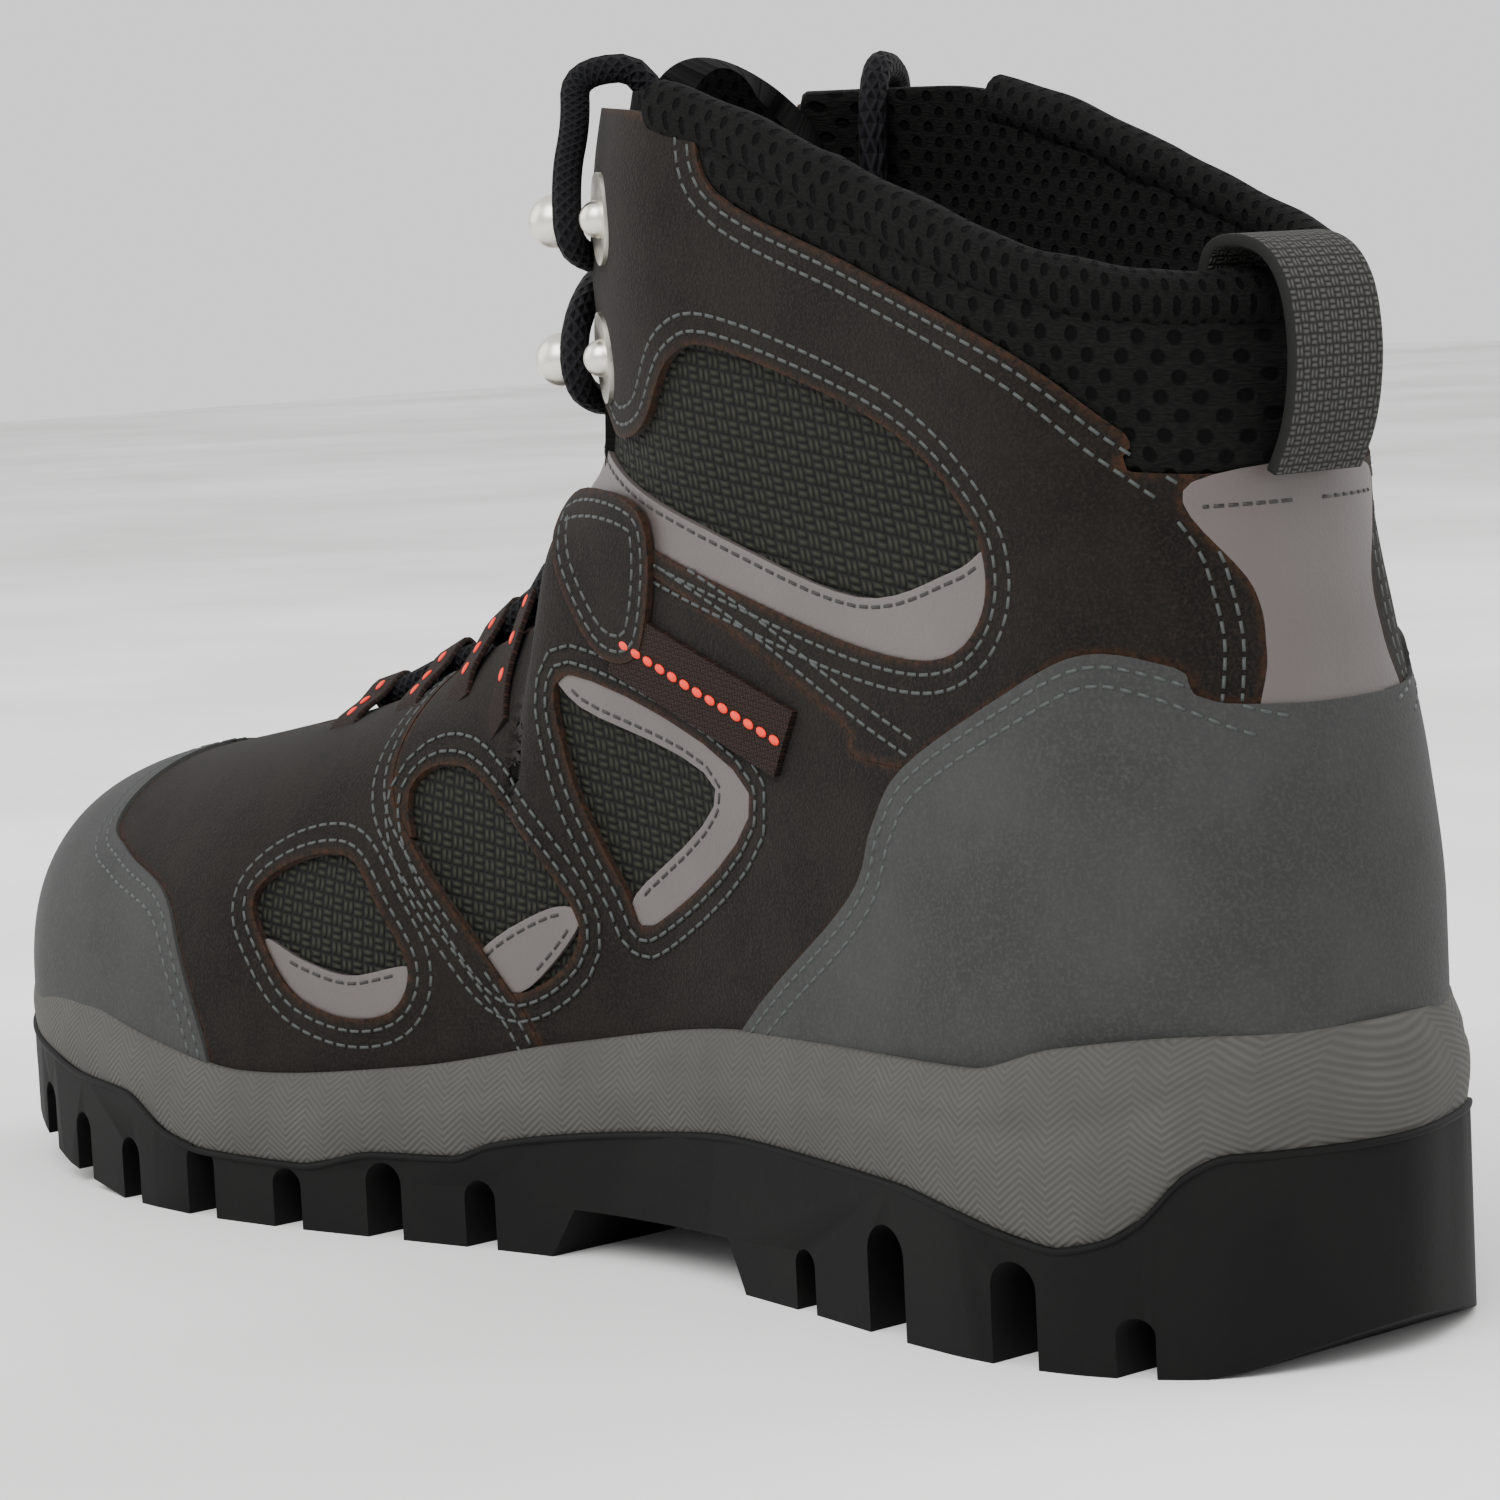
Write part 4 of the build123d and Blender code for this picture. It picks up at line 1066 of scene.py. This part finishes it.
def sole_spot(along):
    """Plan point and outward direction at a distance along the sole's edge."""
    loop = np.vstack([SOLE_LINE, SOLE_LINE[:1]])
    at = np.array([np.interp(along % SOLE_REACH[-1], SOLE_REACH, loop[:, k]) for k in (0, 1)])
    ahead = np.array([np.interp((along + 2.5) % SOLE_REACH[-1], SOLE_REACH, loop[:, k]) for k in (0, 1)])
    behind = np.array([np.interp((along - 2.5) % SOLE_REACH[-1], SOLE_REACH, loop[:, k]) for k in (0, 1)])
    run = (ahead - behind) / np.linalg.norm(ahead - behind)
    return at, np.array([-run[1], run[0]])


def wall_ring(bm, profile, columns=420):
    """A closed wall round the sole: profile(x, along) gives (outward, height) points, bottom to top."""
    uv_layer = bm.loops.layers.uv.new("uv")
    rows = len(profile(0.0, 0.0)) - 1
    bmesh.ops.create_grid(bm, x_segments=columns, y_segments=rows, size=1.0)
    shapes = {}
    for v in bm.verts:
        column, row = round((v.co.x + 1) / 2 * columns), round((v.co.y + 1) / 2 * rows)
        if column not in shapes:
            along = column / columns * SOLE_REACH[-1]
            at, outward = sole_spot(along)
            shapes[column] = (along, at, outward, profile(float(at[0]), along))
        along, at, outward, points = shapes[column]
        out, height = points[row]
        v.co = place(at[0] + outward[0] * out * OUT, at[1] + outward[1] * out * OUT, height)
        for loop in v.link_loops:
            loop[uv_layer].uv = (along, height)
    bmesh.ops.remove_doubles(bm, verts=bm.verts, dist=1e-5)
    bmesh.ops.recalc_face_normals(bm, faces=bm.faces)


area = np.sum(SOLE_LINE[:, 0] * np.roll(SOLE_LINE[:, 1], -1) - np.roll(SOLE_LINE[:, 0], -1) * SOLE_LINE[:, 1])
OUT = -1.0 if area > 0 else 1.0


def midsole_profile(x, along):
    """Foam wall: tucked in at the split, swelling, a shallow groove, then a thin rolled lip."""
    low, top = float(SOLE_SPLIT(np.array([x]))[0]), float(MIDSOLE_TOP(np.array([x]))[0])
    tall = top - low
    swell = 1.3 * min(tall / 22.0, 1.0)
    shape = [(-9, low - 0.6), (-0.9, low - 0.6), (-0.35, low + 0.2)]
    for k in range(1, 15):
        t = k / 15
        bulge = swell * math.sin(math.pi * t) - 1.9 * t * t
        crease = 0.55 * math.exp(-((t - 0.62) / 0.07) ** 2) * min(max((tall - 12) / 8, 0), 1)
        shape.append((-0.4 + bulge - crease, low + tall * t * 0.97))
    shape += [(-2.2, top - 0.25), (-3.0, top), (-5.0, top - 0.4), (-9, top - 2.5), (-9, low - 0.6)]
    return shape


new_piece("midsole_wall", lambda bm: wall_ring(bm, midsole_profile), "boot", ["midsole"], EVA)


def outsole_blocks(bm):
    """The rubber's own shape with its flat facets joined, so that edges can be softened."""
    copied_node(bm, "outsole")
    bmesh.ops.dissolve_limit(bm, angle_limit=math.radians(3), verts=bm.verts, edges=bm.edges)


outsole = new_piece("outsole_rubber", outsole_blocks, "boot", ["outsole"], RUBBER)
outsole.data.set_sharp_from_angle(angle=math.radians(32))
soften = outsole.modifiers.new("edges", "BEVEL")
soften.width = 0.9 * MM
soften.segments = 2
soften.limit_method = "ANGLE"
soften.angle_limit = math.radians(40)
soften.harden_normals = True


def split_line(x, along):
    """A thin dark groove line where the rubber cup begins."""
    low = float(SOLE_SPLIT(np.array([x]))[0])
    return [(-2.0, low - 0.9), (0.25, low - 0.9), (0.35, low - 0.5), (0.2, low - 0.05), (-0.6, low + 0.15), (-2.0, low + 0.1),
            (-2.0, low - 0.9)]


new_piece("outsole_top_bead", lambda bm: wall_ring(bm, split_line), "boot", (), RUBBER)

def rear_x(y, z, side):
    """How far forward of the heel the skin is y millimetres off the centre."""
    low, high = float(HEEL_LINE(np.array([z]))[0]), 45.0
    for _ in range(24):
        middle = (low + high) / 2
        wide = float(half_width(np.array([middle]), np.array([z]), side)[0]) > abs(y)
        low, high = (low, middle) if wide else (middle, high)
    return high


# ---- thread -------------------------------------------------------------------------------------
rows_grey, rows_dark = {name: [] for name in SIDES}, {name: [] for name in SIDES}
for side_name, side in SIDES.items():
    grey, dark = rows_grey[side_name], rows_dark[side_name]
    suede = both(SUEDE_AREA, lambda p: np.full(len(p), 50.0))
    for index, outline in WINDOWS.items():
        if index == 4:
            outline = outline[1:]
        ring = rounded(outline, per=6) if index != 4 else rounded(outline, closed=False, per=6)
        for inset in (-2.0, -4.6):
            line = seam_line(ring, inset, closed=index != 4)
            if index != 4:
                line = np.vstack([line, line[:1]])
            grey.append(dict(line=line, side=side, lift=0.15, kept=SUEDE_AREA))
    for inset in (-1.8, -4.4):
        grey.append(dict(line=seam_line(rounded(SUEDE_EDGE[1:], closed=False), inset, closed=False), side=side, lift=0.15,
                         kept=without(UPPER, COLLAR_ZONE, HEEL_ZONE, patch_zone)))
    for inset in (1.8, 4.4):
        grey.append(dict(line=seam_line(rounded(FOREFOOT_SEAM, closed=False), inset, closed=False), side=side, lift=0.15,
                         kept=without(SUEDE_AREA, *WINDOW_ZONES.values())))
        grey.append(dict(line=seam_line(rounded(ANKLE_SEAM, closed=False), inset, closed=False), side=side, lift=0.15,
                         kept=without(SUEDE_AREA, *WINDOW_ZONES.values())))
        grey.append(dict(line=seam_line(rounded(TOE_CAP_LINE, closed=False), inset, closed=False), side=side, lift=0.85,
                         kept=both(above_sole, TOE_ZONE)))
        grey.append(dict(line=seam_line(rounded(HEEL_CAP_LINE[1:], closed=False), -inset, closed=False), side=side, lift=0.85,
                         kept=both(above_sole, HEEL_ZONE)))
    for index, outline in TRIMS.items():
        line = seam_line(rounded(outline, per=6), 1.3)
        inner = both(WINDOW_ZONES[index], lambda p, w=WINDOW_ZONES[index]: w(p) - 2.2)
        dark.append(dict(line=np.vstack([line, line[:1]]), side=side, lift=-0.35, kept=inner, pitch=2.6, length=1.7, width=0.6))
    patch_side = [(side * abs(y), z) for y, z in ((16.2, 117), (14.0, 112), (13.4, 107), (13.2, 102), (13.6, 98), (15.0, 92))]
    for inset in (1.6, 4.0):
        line = [(rear_x(side * (abs(y) + inset), z, side), z) for y, z in patch_side]
        grey.append(dict(line=rounded(line, closed=False), side=side, lift=0.15, kept=SUEDE_AREA))
    line = [(rear_x(side * y, 118.5, side), 118.5) for y in np.linspace(0.3, 17, 9)]
    dark.append(dict(line=line, side=side, lift=0.25, pitch=2.2, length=1.5, width=0.6))
    tab = rounded(STRAP_TAB)
    for inset in (1.8, 4.2):
        line = seam_line(tab, inset)
        grey.append(dict(line=np.vstack([line, line[:1]]), side=side, lift=1.35))
    capsule_rows(f"{side_name}_grey_stitching", grey, THREAD, ())
    capsule_rows(f"{side_name}_dark_stitching", dark, DARK_THREAD, ())

# ---- inner parts that stay as the model made them -----------------------------------------------
shade_nodes(BOARD, "lasting_board")
shade_nodes(INSOLE, "footbed")
shade_nodes(NICKEL, "shank", "hook_rivets", "hook_washers", *[f"{s}_{l}_hook" for s in SIDES for l in ("lower", "upper")])
shade_nodes(TIP, "lace_tips")


# ---- floor and light ---------------------------------------------------------------------------
def make_floor():
    bm = bmesh.new()
    bmesh.ops.create_grid(bm, x_segments=2, y_segments=2, size=4.0)
    mesh = bpy.data.meshes.new("floor")
    bm.to_mesh(mesh)
    bm.free()
    mesh.materials.append(FLOOR)
    floor = bpy.data.objects.new("floor", mesh)
    bpy.context.collection.objects.link(floor)


def soft_light(name, where, size, power):
    data = bpy.data.lights.new(name, "AREA")
    data.size = size
    data.energy = power
    light = bpy.data.objects.new(name, data)
    light.location = where
    light.rotation_euler = (Vector((0, 0, 0.08)) - Vector(where)).to_track_quat("-Z", "Y").to_euler()
    bpy.context.collection.objects.link(light)


make_floor()
soft_light("key", (-0.5, 1.1, 1.3), 1.2, 30)
soft_light("fill", (1.3, 0.9, 0.8), 1.4, 12)
soft_light("back", (-0.3, -1.4, 1.2), 1.2, 14)
sky = bpy.data.worlds.new("studio")
sky.use_nodes = True
sky.node_tree.nodes["Background"].inputs["Color"].default_value = (1, 1, 1, 1)
sky.node_tree.nodes["Background"].inputs["Strength"].default_value = 1.15
bpy.context.scene.world = sky
